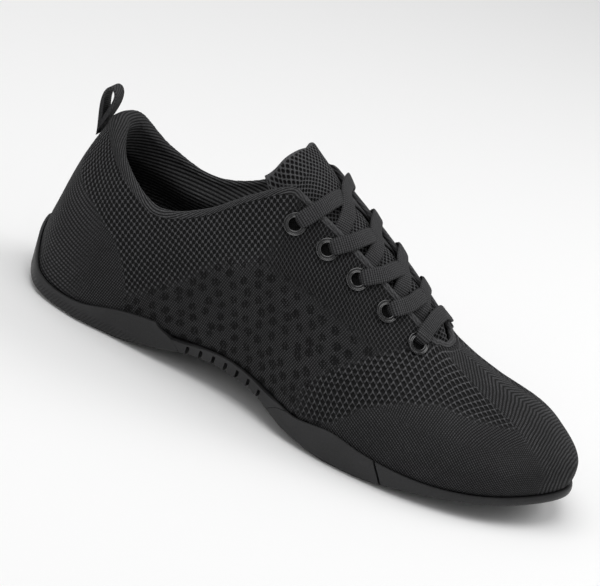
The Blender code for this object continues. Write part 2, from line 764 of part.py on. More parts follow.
def build_pull_loop(mat):
    """Band sewn to the heel back, folded into a teardrop above the collar."""
    bm = bmesh.new()
    foot = skin(0.0, LOOP_LINE) + skin_normal(0.0, LOOP_LINE) * (GAP + LOOP_STEP_OFF)
    rise = np.array((LOOP_LEAN, 0.0, 1.0)) / math.hypot(LOOP_LEAN, 1.0)
    outward = np.array((-rise[2], 0.0, rise[0]))
    outer, inner = [], []
    for k in range(LOOP_STEPS):
        turn = 2 * math.pi * k / LOOP_STEPS
        swell = math.sin(turn) * (1 - math.cos(turn)) * TEARDROP_HALF
        reach = (1 - math.cos(turn)) / 2
        outer.append(foot + rise * reach * LOOP_RISE + outward * swell * LOOP_BELLY)
        drop = LOOP_EYE_LOW + reach * (LOOP_RISE - LOOP_EYE_LOW - LOOP_STRAP)
        inner.append(foot + rise * drop + outward * swell * (LOOP_BELLY - 2 * LOOP_STRAP))
    loops = []
    half = LOOP_WIDTH / 2
    for ring, y in ((outer, -half), (outer, half), (inner, half), (inner, -half)):
        loops.append([p + np.array((0.0, y, 0.0)) for p in ring])
    add_loops(bm, loops + [loops[0]])
    bmesh.ops.remove_doubles(bm, verts=bm.verts[:], dist=WELD)
    return finish("pull_loop", bm, mat)


def main():
    clear_scene()
    knit = material("knit_black", (0.016, 0.016, 0.017), 0.85)
    rubber = material("rubber_black", (0.028, 0.028, 0.03), 0.55)
    foam = material("bridge_black", (0.022, 0.022, 0.024), 0.6)
    mesh_cloth = material("tongue_mesh", (0.014, 0.014, 0.015), 0.8)
    board = material("insole_cloth", (0.012, 0.012, 0.013), 0.9)
    enamel = material("eyelet_black", (0.012, 0.012, 0.013), 0.25, 0.6)
    cord = material("lace_black", (0.02, 0.02, 0.021), 0.75)
    tape = material("loop_tape", (0.022, 0.022, 0.023), 0.7)
    upper = build_upper(knit)
    build_sole({"outsole_heel": rubber, "midsole_arch": foam, "outsole_forefoot": rubber})
    build_insole(board)
    build_tongue(mesh_cloth)
    build_eyelets(upper, enamel)
    build_laces(cord)
    build_pull_loop(tape)


main()
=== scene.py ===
# %% [markdown]
# # A cheerleading shoe for the right foot
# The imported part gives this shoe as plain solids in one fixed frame: a hollow upper, a sole in three
# pieces, a tongue, an insole, eyelets, laces and a pull loop. This lesson dresses them. Each solid is
# replaced by a finer mesh of the same form, and each mesh gets the knit, mesh, rubber or enamel that the
# real piece has. All sizes are in millimetres, measured from the back of the heel, and become metres in
# the shoe's frame only when a mesh is written.

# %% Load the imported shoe
import math
from collections import namedtuple

import bmesh
import bpy
import numpy as np
from mathutils import Matrix, Vector

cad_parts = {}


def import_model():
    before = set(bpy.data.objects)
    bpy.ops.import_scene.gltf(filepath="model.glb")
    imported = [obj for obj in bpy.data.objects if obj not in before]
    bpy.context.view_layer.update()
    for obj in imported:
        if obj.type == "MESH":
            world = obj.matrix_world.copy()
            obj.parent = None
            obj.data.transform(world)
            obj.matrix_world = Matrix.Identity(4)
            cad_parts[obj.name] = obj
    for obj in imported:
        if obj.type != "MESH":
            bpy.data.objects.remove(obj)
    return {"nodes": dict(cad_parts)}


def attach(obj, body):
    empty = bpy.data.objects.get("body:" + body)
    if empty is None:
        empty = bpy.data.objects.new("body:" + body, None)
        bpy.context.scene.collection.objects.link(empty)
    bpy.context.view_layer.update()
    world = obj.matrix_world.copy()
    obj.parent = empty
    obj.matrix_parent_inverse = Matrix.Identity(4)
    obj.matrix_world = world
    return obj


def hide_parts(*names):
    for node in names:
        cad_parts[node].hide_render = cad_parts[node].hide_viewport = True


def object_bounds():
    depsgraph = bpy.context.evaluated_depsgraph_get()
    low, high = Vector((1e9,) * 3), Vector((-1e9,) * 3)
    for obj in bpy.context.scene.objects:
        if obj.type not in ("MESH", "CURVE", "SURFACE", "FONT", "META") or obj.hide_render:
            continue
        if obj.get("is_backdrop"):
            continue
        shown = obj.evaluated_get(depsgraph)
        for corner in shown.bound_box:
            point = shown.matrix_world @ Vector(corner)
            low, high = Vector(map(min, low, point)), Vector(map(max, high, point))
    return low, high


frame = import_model()
cad_box = [list(corner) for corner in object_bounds()]
BOX_CENTRE = np.array((125.99, -1.03, 0.0))
MM = 0.001
FULL_TURN = 2 * math.pi


def world(points):
    """Millimetres from the heel to metres in the shoe's frame."""
    return (np.asarray(points, float) - BOX_CENTRE) * MM


print("packed pieces:", len(frame["nodes"]), "box in mm:", np.round(np.diff(cad_box, axis=0) / MM, 1))

# %% [markdown]
# ## Camera
# A long lens from a little above the outer side shows the shoe nearly without perspective. The product
# view is tipped heel-up. The shoe itself has to stand flat, so the camera is rolled instead.

# %% Camera
AZIMUTH, ELEVATION, ROLL = 15.0, 23.5, 20.06
TARGET = (116.44, 0.0, 42.77)
DISTANCE = 1100.0
LENS = 156.95
SENSOR = 36.0


def aim_camera():
    azimuth, elevation, roll = (math.radians(a) for a in (AZIMUTH, ELEVATION, ROLL))
    flat = math.cos(elevation)
    back = Vector((math.sin(azimuth) * flat, -math.cos(azimuth) * flat, math.sin(elevation)))
    level = Vector((math.cos(azimuth), math.sin(azimuth), 0.0))
    rise = back.cross(level)
    right = level * math.cos(roll) + rise * math.sin(roll)
    up = rise * math.cos(roll) - level * math.sin(roll)
    data = bpy.data.cameras.new("camera")
    data.lens = LENS
    data.sensor_width = SENSOR
    data.sensor_fit = "HORIZONTAL"
    camera = bpy.data.objects.new("camera", data)
    bpy.context.scene.collection.objects.link(camera)
    turn = Matrix((right, up, back)).transposed().to_4x4()
    camera.matrix_world = Matrix.Translation(Vector(world(TARGET)) + back * DISTANCE * MM) @ turn
    bpy.context.scene.camera = camera
    return camera


print("camera at", [round(v, 3) for v in aim_camera().location])

# %% [markdown]
# ## Light and floor
# Black cloth shows its knit only where broad light grazes it. A pale world lights everything evenly, one
# large soft box straight above brightens the collar rim and the toe, a weak one at the side fills the
# quarter, and one behind the toe draws a bright line along the top of it.

# %% Light and floor
Softbox = namedtuple("Softbox", "name place aim size watts")
SOFTBOXES = [
    Softbox("top_softbox", (60.0, -150.0, 1100.0), (110.0, 0.0, 40.0), 900.0, 7.0),
    Softbox("side_softbox", (-500.0, -800.0, 500.0), (90.0, 0.0, 40.0), 700.0, 1.4),
    Softbox("toe_softbox", (800.0, 500.0, 700.0), (200.0, 0.0, 40.0), 600.0, 4.0),
]
WORLD_STRENGTH = 0.4
FLOOR_SIZE = 8000.0
FLOOR_DROP = 0.05
FLOOR_TONE = (0.9, 0.9, 0.9, 1.0)


def light_stage():
    for box in SOFTBOXES:
        data = bpy.data.lights.new(box.name, "AREA")
        data.shape = "SQUARE"
        data.size = box.size * MM
        data.energy = box.watts
        lamp = bpy.data.objects.new(box.name, data)
        place = Vector(world(box.place))
        lamp.location = place
        lamp.rotation_euler = (Vector(world(box.aim)) - place).to_track_quat("-Z", "Y").to_euler()
        bpy.context.scene.collection.objects.link(lamp)
    sky = bpy.data.worlds.new("studio")
    sky.use_nodes = True
    sky.node_tree.nodes["Background"].inputs["Strength"].default_value = WORLD_STRENGTH
    sky.node_tree.nodes["Background"].inputs["Color"].default_value = (1.0, 1.0, 1.0, 1.0)
    bpy.context.scene.world = sky
    bpy.context.scene.view_settings.view_transform = "Standard"


def lay_floor():
    bm = bmesh.new()
    bmesh.ops.create_grid(bm, x_segments=2, y_segments=2, size=FLOOR_SIZE * MM / 2)
    bmesh.ops.translate(bm, verts=bm.verts[:], vec=(0.0, 0.0, -FLOOR_DROP * MM))
    mesh = bpy.data.meshes.new("studio_floor")
    bm.to_mesh(mesh)
    bm.free()
    paint = bpy.data.materials.new("floor_paper")
    paint.use_nodes = True
    shader = paint.node_tree.nodes["Principled BSDF"]
    shader.inputs["Base Color"].default_value = FLOOR_TONE
    shader.inputs["Roughness"].default_value = 0.9
    shader.inputs["Specular IOR Level"].default_value = 0.1
    mesh.materials.append(paint)
    floor = bpy.data.objects.new("studio_floor", mesh)
    bpy.context.scene.collection.objects.link(floor)
    floor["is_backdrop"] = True


light_stage()
lay_floor()
print("lights:", [box.name for box in SOFTBOXES])

# %% [markdown]
# ## The last
# A shoe is pulled over a last, a solid foot form, so the upper and the sole share one shape. Here the last
# is a ring of stations, heel back to toe tip, with six named lines at each: the feather edge under the
# foot, the turn above it, the belly, the flank, the shoulder and the top edge. A smooth curve through the
# stations and another up the lines give the outside of the upper at any place.

# %% Sections of the last
Station = namedtuple("Station", "base_x heading tread_z floor_z")
STATIONS = [
    Station(34.0, 180.0, 3.5, 6.5),
    Station(34.0, 135.0, 1.0, 5.5),
    Station(34.0, 90.0, 0.0, 5.0),
    Station(54.0, 90.0, 0.0, 6.5),
    Station(74.0, 90.0, 4.5, 11.0),
    Station(92.0, 90.0, 9.8, 13.6),
    Station(106.0, 90.0, 10.9, 14.5),
    Station(120.0, 90.0, 10.0, 13.6),
    Station(142.0, 90.0, 3.0, 9.5),
    Station(162.0, 90.0, 0.0, 6.5),
    Station(176.0, 90.0, 0.0, 5.5),
    Station(176.0, 55.0, 4.0, 6.2),
    Station(176.0, 25.0, 8.5, 10.2),
    Station(176.0, 0.0, 13.0, 14.6),
]
Section = namedtuple("Section", "wall_z belly_r flank_r flank_z shoulder_r shoulder_z edge_r edge_z")
LATERAL = [
    Section(24.5, 34.0, 30.8, 40.5, 26.0, 62.5, 20.3, 79.0),
    Section(9.5, 32.3, 31.0, 36.5, 27.5, 57.5, 21.2, 78.5),
    Section(8.0, 31.2, 31.0, 33.0, 29.0, 51.0, 26.0, 69.0),
    Section(13.5, 31.2, 31.5, 31.0, 31.0, 45.0, 29.8, 60.5),
    Section(17.0, 32.3, 33.0, 35.0, 32.5, 51.5, 30.3, 69.0),
    Section(16.5, 32.8, 34.0, 38.0, 33.5, 60.5, 28.7, 84.5),
    Section(17.0, 34.0, 35.0, 40.0, 33.5, 64.0, 25.0, 93.0),
    Section(16.0, 37.0, 36.5, 41.0, 33.0, 63.0, 21.8, 87.5),
    Section(11.8, 43.5, 41.0, 37.0, 32.0, 57.5, 19.3, 77.5),
    Section(14.3, 46.0, 41.5, 33.5, 30.0, 51.0, 15.5, 66.0),
    Section(11.8, 45.5, 40.0, 30.5, 27.0, 45.5, 12.0, 57.5),
    Section(9.8, 49.5, 43.5, 28.5, 28.0, 41.5, 9.5, 54.5),
    Section(12.4, 62.5, 54.0, 30.0, 32.0, 42.0, 8.5, 53.0),
    Section(17.0, 76.0, 63.0, 37.3, 34.5, 45.6, 8.0, 53.0),
]
MEDIAL = [
    Section(9.5, 32.3, 31.0, 36.5, 27.5, 57.5, 21.4, 77.0),
    Section(8.0, 31.2, 31.0, 33.0, 28.5, 50.0, 25.5, 65.3),
    Section(13.5, 30.0, 30.5, 32.0, 29.5, 46.0, 28.0, 60.5),
    Section(17.0, 28.5, 30.5, 36.0, 30.5, 51.5, 28.3, 67.5),
    Section(16.5, 27.5, 30.5, 41.0, 31.0, 62.0, 26.5, 82.5),
    Section(17.0, 28.5, 31.5, 42.0, 30.5, 66.0, 21.0, 92.0),
    Section(16.0, 32.0, 33.0, 41.5, 29.5, 64.0, 17.3, 86.8),
    Section(11.8, 39.0, 37.0, 37.0, 28.8, 57.5, 14.5, 76.5),
    Section(14.3, 42.5, 39.0, 34.0, 27.3, 51.2, 12.3, 65.5),
    Section(11.8, 43.5, 39.5, 31.5, 26.0, 46.3, 10.5, 57.2),
    Section(9.8, 52.5, 46.0, 29.5, 29.0, 42.5, 9.5, 53.8),
    Section(12.4, 70.0, 60.5, 33.3, 34.5, 43.6, 8.5, 53.0),
]
GAP = 0.3
FEATHER_TUCK = 8.0
TURN_INSET = 1.2
TURN_RISE = 1.8
BELLY_RISE = 11.0
BELLY, EDGE = 2, 5
LINES = 6
ROWS = len(STATIONS) - 1
TURNS = 2 * ROWS
WRAP = 3
NUDGE = 0.03


def section_points(station, section, side):
    """The six named points of one section; side is -1 lateral, +1 medial."""
    heading = math.radians(station.heading) * side
    floor = station.floor_z
    spots = (
        (section.belly_r - FEATHER_TUCK, floor + GAP),
        (section.belly_r - TURN_INSET, floor + TURN_RISE),
        (section.belly_r, floor + BELLY_RISE),
        (section.flank_r, section.flank_z),
        (section.shoulder_r, section.shoulder_z),
        (section.edge_r, section.edge_z),
    )
    return [(station.base_x + r * math.cos(heading), r * math.sin(heading), z) for r, z in spots]


BACK_ROWS = list(zip(STATIONS[1:-1], MEDIAL))[::-1]
OUT_ROWS = list(zip(STATIONS, LATERAL))
OUT_POINTS = [section_points(*row, -1) for row in OUT_ROWS]
BACK_POINTS = [section_points(*row, 1) for row in BACK_ROWS]
LAST = np.array(OUT_POINTS + BACK_POINTS)
HEIGHTS = np.array([(st.tread_z, st.floor_z, se.wall_z) for st, se in OUT_ROWS + BACK_ROWS])
print("stations round the last:", len(LAST), "length", round(np.ptp(LAST[:, BELLY, 0]), 1), "mm")


# %% Smooth curves and the outside of the upper
def smooth_curve(knots, points, at):
    """Smooth curves through points (c, n, d) at knots (c, n), read at places (c, m)."""
    step = np.diff(knots, axis=1)
    slope = np.diff(points, axis=1) / step[..., None]
    before, after = step[:, :-1, None], step[:, 1:, None]
    tangent = np.empty_like(points)
    tangent[:, 1:-1] = (slope[:, :-1] * after + slope[:, 1:] * before) / (before + after)
    tangent[:, 0] = 1.5 * slope[:, 0] - 0.5 * tangent[:, 1]
    tangent[:, -1] = 1.5 * slope[:, -1] - 0.5 * tangent[:, -2]
    seg = np.clip((at[:, :, None] >= knots[:, None, :]).sum(2) - 1, 0, knots.shape[1] - 2)
    row = np.arange(len(knots))[:, None]
    width = step[row, seg][..., None]
    t = (at - knots[row, seg])[..., None] / width
    start = (1 + 2 * t) * (1 - t) ** 2 * points[row, seg] + t * (1 - t) ** 2 * width * tangent[row, seg]
    end = t * t * (3 - 2 * t) * points[row, seg + 1] + t * t * (t - 1) * width * tangent[row, seg + 1]
    return start + end


def chord_knots(points):
    """Lengths along rows of points (c, n, 3), starting at zero."""
    chord = np.linalg.norm(np.diff(points, axis=1), axis=2)
    return np.concatenate([np.zeros((len(points), 1)), np.cumsum(chord, axis=1)], axis=1)


def round_last(values, at):
    """Smooth closed curve through one row of values per station, paced by the belly line."""
    wrap = np.arange(-WRAP, TURNS + WRAP + 1) % TURNS
    knots = chord_knots(LAST[wrap][None, :, BELLY])
    at = np.asarray(at, float) % TURNS + WRAP
    whole = np.floor(at).astype(int)
    spot = knots[0, whole] + (at - whole) * (knots[0, whole + 1] - knots[0, whole])
    return smooth_curve(knots, values[wrap][None], spot[None])[0]


def even_rows(at, line):
    line = np.asarray(line, float)
    return line if line.ndim == 2 else np.broadcast_to(line, (len(at), len(line)))


def skin(at, line):
    """Points (places, lines, 3) on the outside of the upper; line 0 is the feather, EDGE the top edge."""
    at = np.asarray(at, float)
    line = even_rows(at, line)
    points = round_last(LAST.reshape(TURNS, -1), at).reshape(len(at), LINES, 3)
    knots = chord_knots(points)
    low = np.clip(np.floor(line).astype(int), 0, EDGE - 1)
    row = np.arange(len(at))[:, None]
    spot = knots[row, low] + (line - low) * (knots[row, low + 1] - knots[row, low])
    return smooth_curve(knots, points, spot)


def unit(vectors):
    return vectors / np.linalg.norm(vectors, axis=-1, keepdims=True)


def skin_normal(at, line):
    at = np.asarray(at, float)
    line = even_rows(at, line)
    along = skin(at + NUDGE, line) - skin(at - NUDGE, line)
    up = skin(at, np.minimum(line + NUDGE, EDGE)) - skin(at, np.maximum(line - NUDGE, 0.0))
    return unit(np.cross(along, up))


def soft_step(value):
    value = np.clip(value, 0.0, 1.0)
    return value * value * (3 - 2 * value)


def ramp(value, start, end):
    """Smooth rise from 0 at start to 1 at end."""
    return soft_step((value - start) / (end - start))


def station_of(at):
    """Station number of a place round the last, the same on both sides."""
    at = np.asarray(at, float) % TURNS
    return np.minimum(at, TURNS - at)


SIDEWAYS = 90.0
STRAIGHT = [k for k, row in enumerate(STATIONS) if row.heading == SIDEWAYS]
STRAIGHT_X = [STATIONS[k].base_x for k in STRAIGHT]


def station_at_x(x):
    return float(np.interp(x, STRAIGHT_X, STRAIGHT))


def side_place(station, side):
    """Place round the last for a station; side is -1 lateral, +1 medial."""
    return station if side < 0 else TURNS - station


heel_back, toe_tip = skin([0.0, ROWS], [float(BELLY)])[:, 0]
print("heel back at", np.round(heel_back, 1), "toe tip at", np.round(toe_tip, 1))

# %% [markdown]
# ## From rings of points to a mesh
# Every cloth piece below starts as one flat grid from `create_grid`. Its columns are wrapped round the shoe
# and its rows up the side, and the ends are sewn together by merging doubles. Values that the materials
# need, such as the distance along the knit, are kept on the points as attributes, so that a pattern follows
# the surface.

# %% Grid and sewing helpers
WELD = 2e-6
SOFT_EDGE = math.radians(38.0)


def lay_grid(name, rings, notes=None):
    """A grid mesh laid on rings of points (rows, columns, 3); notes are values for each point."""
    rows, cols = rings.shape[:2]
    bm = bmesh.new()
    bmesh.ops.create_grid(bm, x_segments=cols - 1, y_segments=rows - 1, size=1.0)
    mesh = bpy.data.meshes.new(name)
    bm.to_mesh(mesh)
    bm.free()
    flat = np.empty(len(mesh.vertices) * 3)
    mesh.vertices.foreach_get("co", flat)
    flat = flat.reshape(-1, 3)
    col = np.rint((flat[:, 0] + 1) / 2 * (cols - 1)).astype(int)
    row = np.rint((flat[:, 1] + 1) / 2 * (rows - 1)).astype(int)
    mesh.vertices.foreach_set("co", world(rings)[row, col].ravel())
    for word, values in (notes or {}).items():
        vector = values.ndim == 3
        layer = mesh.attributes.new(word, "FLOAT_VECTOR" if vector else "FLOAT", "POINT")
        layer.data.foreach_set("vector" if vector else "value", values[row, col].ravel())
    return mesh


def spread(values, extra):
    """Values (places, rows) turned for a grid, with the last row repeated on extra rows."""
    return np.concatenate([values, np.repeat(values[:, -1:], extra, axis=1)], axis=1).T


def sew(name, meshes, sharp=SOFT_EDGE):
    """Join grids into one closed piece and turn its faces outwards."""
    bm = bmesh.new()
    for mesh in meshes:
        bm.from_mesh(mesh)
        bpy.data.meshes.remove(mesh)
    bmesh.ops.remove_doubles(bm, verts=bm.verts[:], dist=WELD)
    bmesh.ops.dissolve_degenerate(bm, dist=WELD / 4, edges=bm.edges[:])
    bmesh.ops.recalc_face_normals(bm, faces=bm.faces[:])
    return as_piece(name, bm, sharp)


def as_piece(name, bm, sharp=SOFT_EDGE):
    for face in bm.faces:
        face.smooth = True
    mesh = bpy.data.meshes.new(name)
    bm.to_mesh(mesh)
    bm.free()
    mesh.set_sharp_from_angle(angle=sharp)
    piece = bpy.data.objects.new(name, mesh)
    bpy.context.scene.collection.objects.link(piece)
    return piece


def dress(piece, paint, slot, *nodes):
    """Give a piece its material, hang it under the root and hide the solids that it stands for. The slot is
    not used.
    """
    piece.data.materials.clear()
    piece.data.materials.append(paint)
    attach(piece, "root")
    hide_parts(*nodes)
    corners = [len(p.vertices) - 2 for p in piece.data.polygons]
    print(piece.name, "triangles", sum(corners), "stands for", list(nodes))


# %% [markdown]
# ## Stitches as node groups
# Knit, mesh, rib and rubber look alike from afar: all are black. Only their relief tells them apart, so each
# material is a pattern that makes both a shade and a bump. A net of holes, rows of loops, a set of slanted
# ridges and a fine grain are enough for the whole shoe. Each is one node group, placed with its own sizes.

# %% Node helpers
def plug(tree, socket, value):
    if isinstance(value, bpy.types.NodeSocket):
        tree.links.new(value, socket)
    else:
        socket.default_value = value


def calc(tree, operation, *values):
    """One Math node; values are numbers or sockets."""
    made = tree.nodes.new("ShaderNodeMath")
    made.operation = operation
    for socket, value in zip(made.inputs, values):
        plug(tree, socket, value)
    return made.outputs[0]


def soft_mask(tree, value, low, high):
    """Smooth rise from 0 at low to 1 at high, as a Map Range node."""
    made = tree.nodes.new("ShaderNodeMapRange")
    made.interpolation_type = "SMOOTHSTEP"
    plug(tree, made.inputs["Value"], value)
    made.inputs["From Min"].default_value = low
    made.inputs["From Max"].default_value = high
    return made.outputs[0]


def new_group(name, inputs, output):
    """A node group of plain numbers with one named output."""
    group = bpy.data.node_groups.new(name, "ShaderNodeTree")
    for word, value in inputs.items():
        kind = "NodeSocketVector" if value is None else "NodeSocketFloat"
        socket = group.interface.new_socket(word, in_out="INPUT", socket_type=kind)
        if value is not None:
            socket.default_value = value
    group.interface.new_socket(output, in_out="OUTPUT", socket_type="NodeSocketFloat")
    entry = group.nodes.new("NodeGroupInput")
    leave = group.nodes.new("NodeGroupOutput")
    return group, entry.outputs, leave.inputs[0]


def use_group(tree, group, **values):
    made = tree.nodes.new("ShaderNodeGroup")
    made.node_tree = group
    for word, value in values.items():
        plug(tree, made.inputs[word], value)
    return made.outputs[0]


# %% Net, rows of loops, slanted ridges and grain
# A knitted loop: height of its top in a pair of rows, half the width of its yarn, fading of its legs.
STITCH_TOP, STITCH_YARN, STITCH_FADE = 0.85, 1.2, 1.9
# The pocket under a loop: its drop below the yarn, half its height, half its width in pitches.
POCKET_DROP, POCKET_HALF, POCKET_LAP = 1.3, 1.1, 0.42
GRAIN_EDGE = (0.3, 0.7)


def net_group():
    """A net of diamonds in staggered rows: 1 in the middle of a hole, 0 on the yarn round it."""
    group, entry, leave = new_group(
        "diamond_net", {"Along": 0.0, "Across": 0.0, "Pitch": 3.0, "Row": 1.5, "Skew": 0.0}, "Hole"
    )
    rows = calc(group, "DIVIDE", entry["Across"], entry["Row"])
    lap = calc(group, "FRACT", calc(group, "MULTIPLY", rows, 0.5))
    bend = calc(group, "MULTIPLY", calc(group, "ABSOLUTE", calc(group, "SUBTRACT", lap, 0.5)), 2.0)
    turn = calc(group, "DIVIDE", entry["Along"], entry["Pitch"])
    turn = calc(group, "MULTIPLY_ADD", bend, entry["Skew"], turn)
    across = calc(group, "COSINE", calc(group, "MULTIPLY", rows, math.pi))
    along = calc(group, "COSINE", calc(group, "MULTIPLY", turn, FULL_TURN))
    depth = calc(group, "ABSOLUTE", calc(group, "MULTIPLY", calc(group, "ADD", along, across), 0.5))
    group.links.new(depth, leave)
    return group


def loop_group():
    """Staggered rows of loops like small roofs: 0 on the yarn, 1 in the pocket under it, 0.5 between."""
    group, entry, leave = new_group(
        "loop_rows", {"Along": 0.0, "Across": 0.0, "Pitch": 2.7, "Row": 1.65, "Skew": 1.2}, "Hole"
    )
    pair = calc(group, "MULTIPLY", entry["Row"], 2.0)
    fall = calc(group, "MULTIPLY", pair, entry["Skew"])

    def tent(value, half):
        slope = calc(group, "DIVIDE", calc(group, "ABSOLUTE", value), half)
        return calc(group, "MAXIMUM", calc(group, "SUBTRACT", 1.0, slope), 0.0)

    yarn, pocket = 0.0, 0.0
    for shift in (0.0, 0.5):
        turn = calc(group, "ADD", calc(group, "DIVIDE", entry["Along"], entry["Pitch"]), shift)
        lap = calc(group, "ABSOLUTE", calc(group, "SUBTRACT", calc(group, "FRACT", turn), 0.5))
        rows = calc(group, "FRACT", calc(group, "ADD", calc(group, "DIVIDE", entry["Across"], pair), shift))
        rise = calc(group, "MULTIPLY", calc(group, "SUBTRACT", rows, STITCH_TOP), pair)
        above = calc(group, "MULTIPLY_ADD", lap, fall, rise)
        fade = calc(group, "MULTIPLY_ADD", lap, -STITCH_FADE, 1.0)
        leg = calc(group, "MULTIPLY", tent(above, STITCH_YARN), fade)
        shadow = tent(calc(group, "ADD", above, POCKET_DROP), POCKET_HALF)
        yarn = calc(group, "MAXIMUM", yarn, leg)
        pocket = calc(group, "MAXIMUM", pocket, calc(group, "MULTIPLY", shadow, tent(lap, POCKET_LAP)))
    both = calc(group, "MULTIPLY", calc(group, "SUBTRACT", pocket, yarn), 0.5)
    group.links.new(calc(group, "ADD", both, 0.5), leave)
    return group


def ridge_group():
    """Parallel ridges, 1 on the crest and 0 in the valley, slanted off the cloth's length."""
    group, entry, leave = new_group(
        "slanted_ridges", {"Along": 0.0, "Across": 0.0, "Pitch": 1.0, "Slant": 0.0}, "Crest"
    )
    flat = calc(group, "MULTIPLY", entry["Along"], calc(group, "COSINE", entry["Slant"]))
    steep = calc(group, "MULTIPLY", entry["Across"], calc(group, "SINE", entry["Slant"]))
    turn = calc(group, "DIVIDE", calc(group, "ADD", flat, steep), entry["Pitch"])
    wave = calc(group, "COSINE", calc(group, "MULTIPLY", turn, FULL_TURN))
    group.links.new(calc(group, "MULTIPLY_ADD", wave, 0.5, 0.5), leave)
    return group


def grain_group():
    """Fine uneven grain between 0 and 1."""
    group, entry, leave = new_group("fine_grain", {"Place": None, "Scale": 1000.0, "Detail": 2.0}, "Grain")
    noise = group.nodes.new("ShaderNodeTexNoise")
    for word, socket in (("Vector", "Place"), ("Scale", "Scale"), ("Detail", "Detail")):
        group.links.new(entry[socket], noise.inputs[word])
    group.links.new(soft_mask(group, noise.outputs[0], *GRAIN_EDGE), leave)
    return group


NET, LOOPS, RIDGES, GRAIN = net_group(), loop_group(), ridge_group(), grain_group()
print("node groups:", [group.name for group in (NET, LOOPS, RIDGES, GRAIN)])


# %% Paint helpers
def new_paint(name, roughness, specular):
    paint = bpy.data.materials.new(name)
    paint.use_nodes = True
    shader = paint.node_tree.nodes["Principled BSDF"]
    shader.inputs["Roughness"].default_value = roughness
    shader.inputs["Specular IOR Level"].default_value = specular
    return paint, paint.node_tree, shader


def attribute(tree, name):
    made = tree.nodes.new("ShaderNodeAttribute")
    made.attribute_name = name
    return made


def cloth_axes(tree):
    """The along, across and height sockets of the cloth attribute, in millimetres."""
    split = tree.nodes.new("ShaderNodeSeparateXYZ")
    tree.links.new(attribute(tree, "cloth").outputs["Vector"], split.inputs[0])
    return split.outputs[0], split.outputs[1], split.outputs[2]


def object_place(tree):
    return tree.nodes.new("ShaderNodeTexCoord").outputs["Object"]


def shade(tree, shader, tone, dark, light):
    """Base Color between two shades by a 0 to 1 tone."""
    mix = tree.nodes.new("ShaderNodeMix")
    mix.data_type = "RGBA"
    plug(tree, mix.inputs[0], tone)
    mix.inputs[6].default_value = (*dark, 1.0)
    mix.inputs[7].default_value = (*light, 1.0)
    tree.links.new(mix.outputs[2], shader.inputs["Base Color"])


def raise_bump(tree, shader, height, strength=1.0):
    """Bump from a height in millimetres."""
    bump = tree.nodes.new("ShaderNodeBump")
    bump.inputs["Distance"].default_value = MM
    bump.inputs["Strength"].default_value = strength
    plug(tree, bump.inputs["Height"], height)
    tree.links.new(bump.outputs[0], shader.inputs["Normal"])


Grain = namedtuple("Grain", "scale detail share base")


def grain_over(tree, scale, detail):
    """Grain over a whole piece, between 0 and 1."""
    return use_group(tree, GRAIN, Place=object_place(tree), Scale=scale, Detail=detail)


def grained(tree, tone, grain):
    """A tone made uneven: times the grain's base plus its share of the noise."""
    noise = grain_over(tree, grain.scale, grain.detail)
    return calc(tree, "MULTIPLY", tone, calc(tree, "MULTIPLY_ADD", noise, grain.share, grain.base))


def ridges_on(tree, along, across, pitch, slant=0.0):
    """Ridges on a cloth, slanted by degrees."""
    return use_group(tree, RIDGES, Along=along, Across=across, Pitch=pitch, Slant=math.radians(slant))


def stitches_on(tree, group, along, across, stitch):
    """A net or rows of loops in the sizes of one stitch."""
    sizes = {"Pitch": stitch.pitch, "Row": stitch.row, "Skew": stitch.skew}
    return use_group(tree, group, Along=along, Across=across, **sizes)


# %% [markdown]
# ## Where the knit changes
# The upper is knitted in one piece, and its stitch changes from place to place: slanted ribs round the back
# of the heel, a fine twill over the counter, an open mesh of loops under the collar, a twill with scattered
# tufts on the quarter, wider rows of loops on the vamp, a small net round the eyelets, fine twill on the toe
# and cross ribs down the middle of it. Each zone is a soft mask over the surface, and each point also keeps
# how far along and across the cloth it lies.

# %% Rows and places of the knit
KNIT_COLUMNS = 800
KNIT_ROWS = 102
TUCK_ROWS = 5
KNIT_THICK = 1.2
SHOW_LINE = 1.0
LENGTH_SAMPLES = 60
Band = namedtuple("Band", "station width")
COLLAR_BAND = [
    Band(0.0, 1.6),
    Band(1.2, 1.4),
    Band(2.0, 2.0),
    Band(2.6, 1.7),
    Band(3.2, 1.4),
    Band(6.2, 1.5),
    Band(6.8, 1.8),
    Band(7.6, 1.8),
    Band(13.0, 1.8),
]
BAND_TUCK = 0.8
BAND_SEARCH_LINE = 3.0


def lines_by_length(at, low, high, share):
    """Lines at even lengths up each column, and those lengths in millimetres."""
    coarse = np.linspace(0.0, 1.0, LENGTH_SAMPLES)
    line = low[:, None] + (high - low)[:, None] * coarse
    gone = chord_knots(skin(at, line))
    want = gone[:, -1:] * share
    found = np.array([np.interp(w, g, l) for w, g, l in zip(want, gone, line)])
    return found, want


def line_below_edge(at, drop):
    """The line that lies a length below the top edge, for each place."""
    line = np.linspace(EDGE, BAND_SEARCH_LINE, LENGTH_SAMPLES)
    gone = chord_knots(skin(at, line))
    return np.array([np.interp(d, g, line) for d, g in zip(drop, gone)])


def band_width(at):
    return np.interp(station_of(at), [b.station for b in COLLAR_BAND], [b.width for b in COLLAR_BAND])


ROUND = np.linspace(0.0, TURNS, KNIT_COLUMNS + 1)
KNIT_TOP = line_below_edge(ROUND, band_width(ROUND) - BAND_TUCK)
print("knit columns every", round(chord_knots(skin(ROUND, [2.0])[None, :, 0])[0, -1] / KNIT_COLUMNS, 2), "mm")

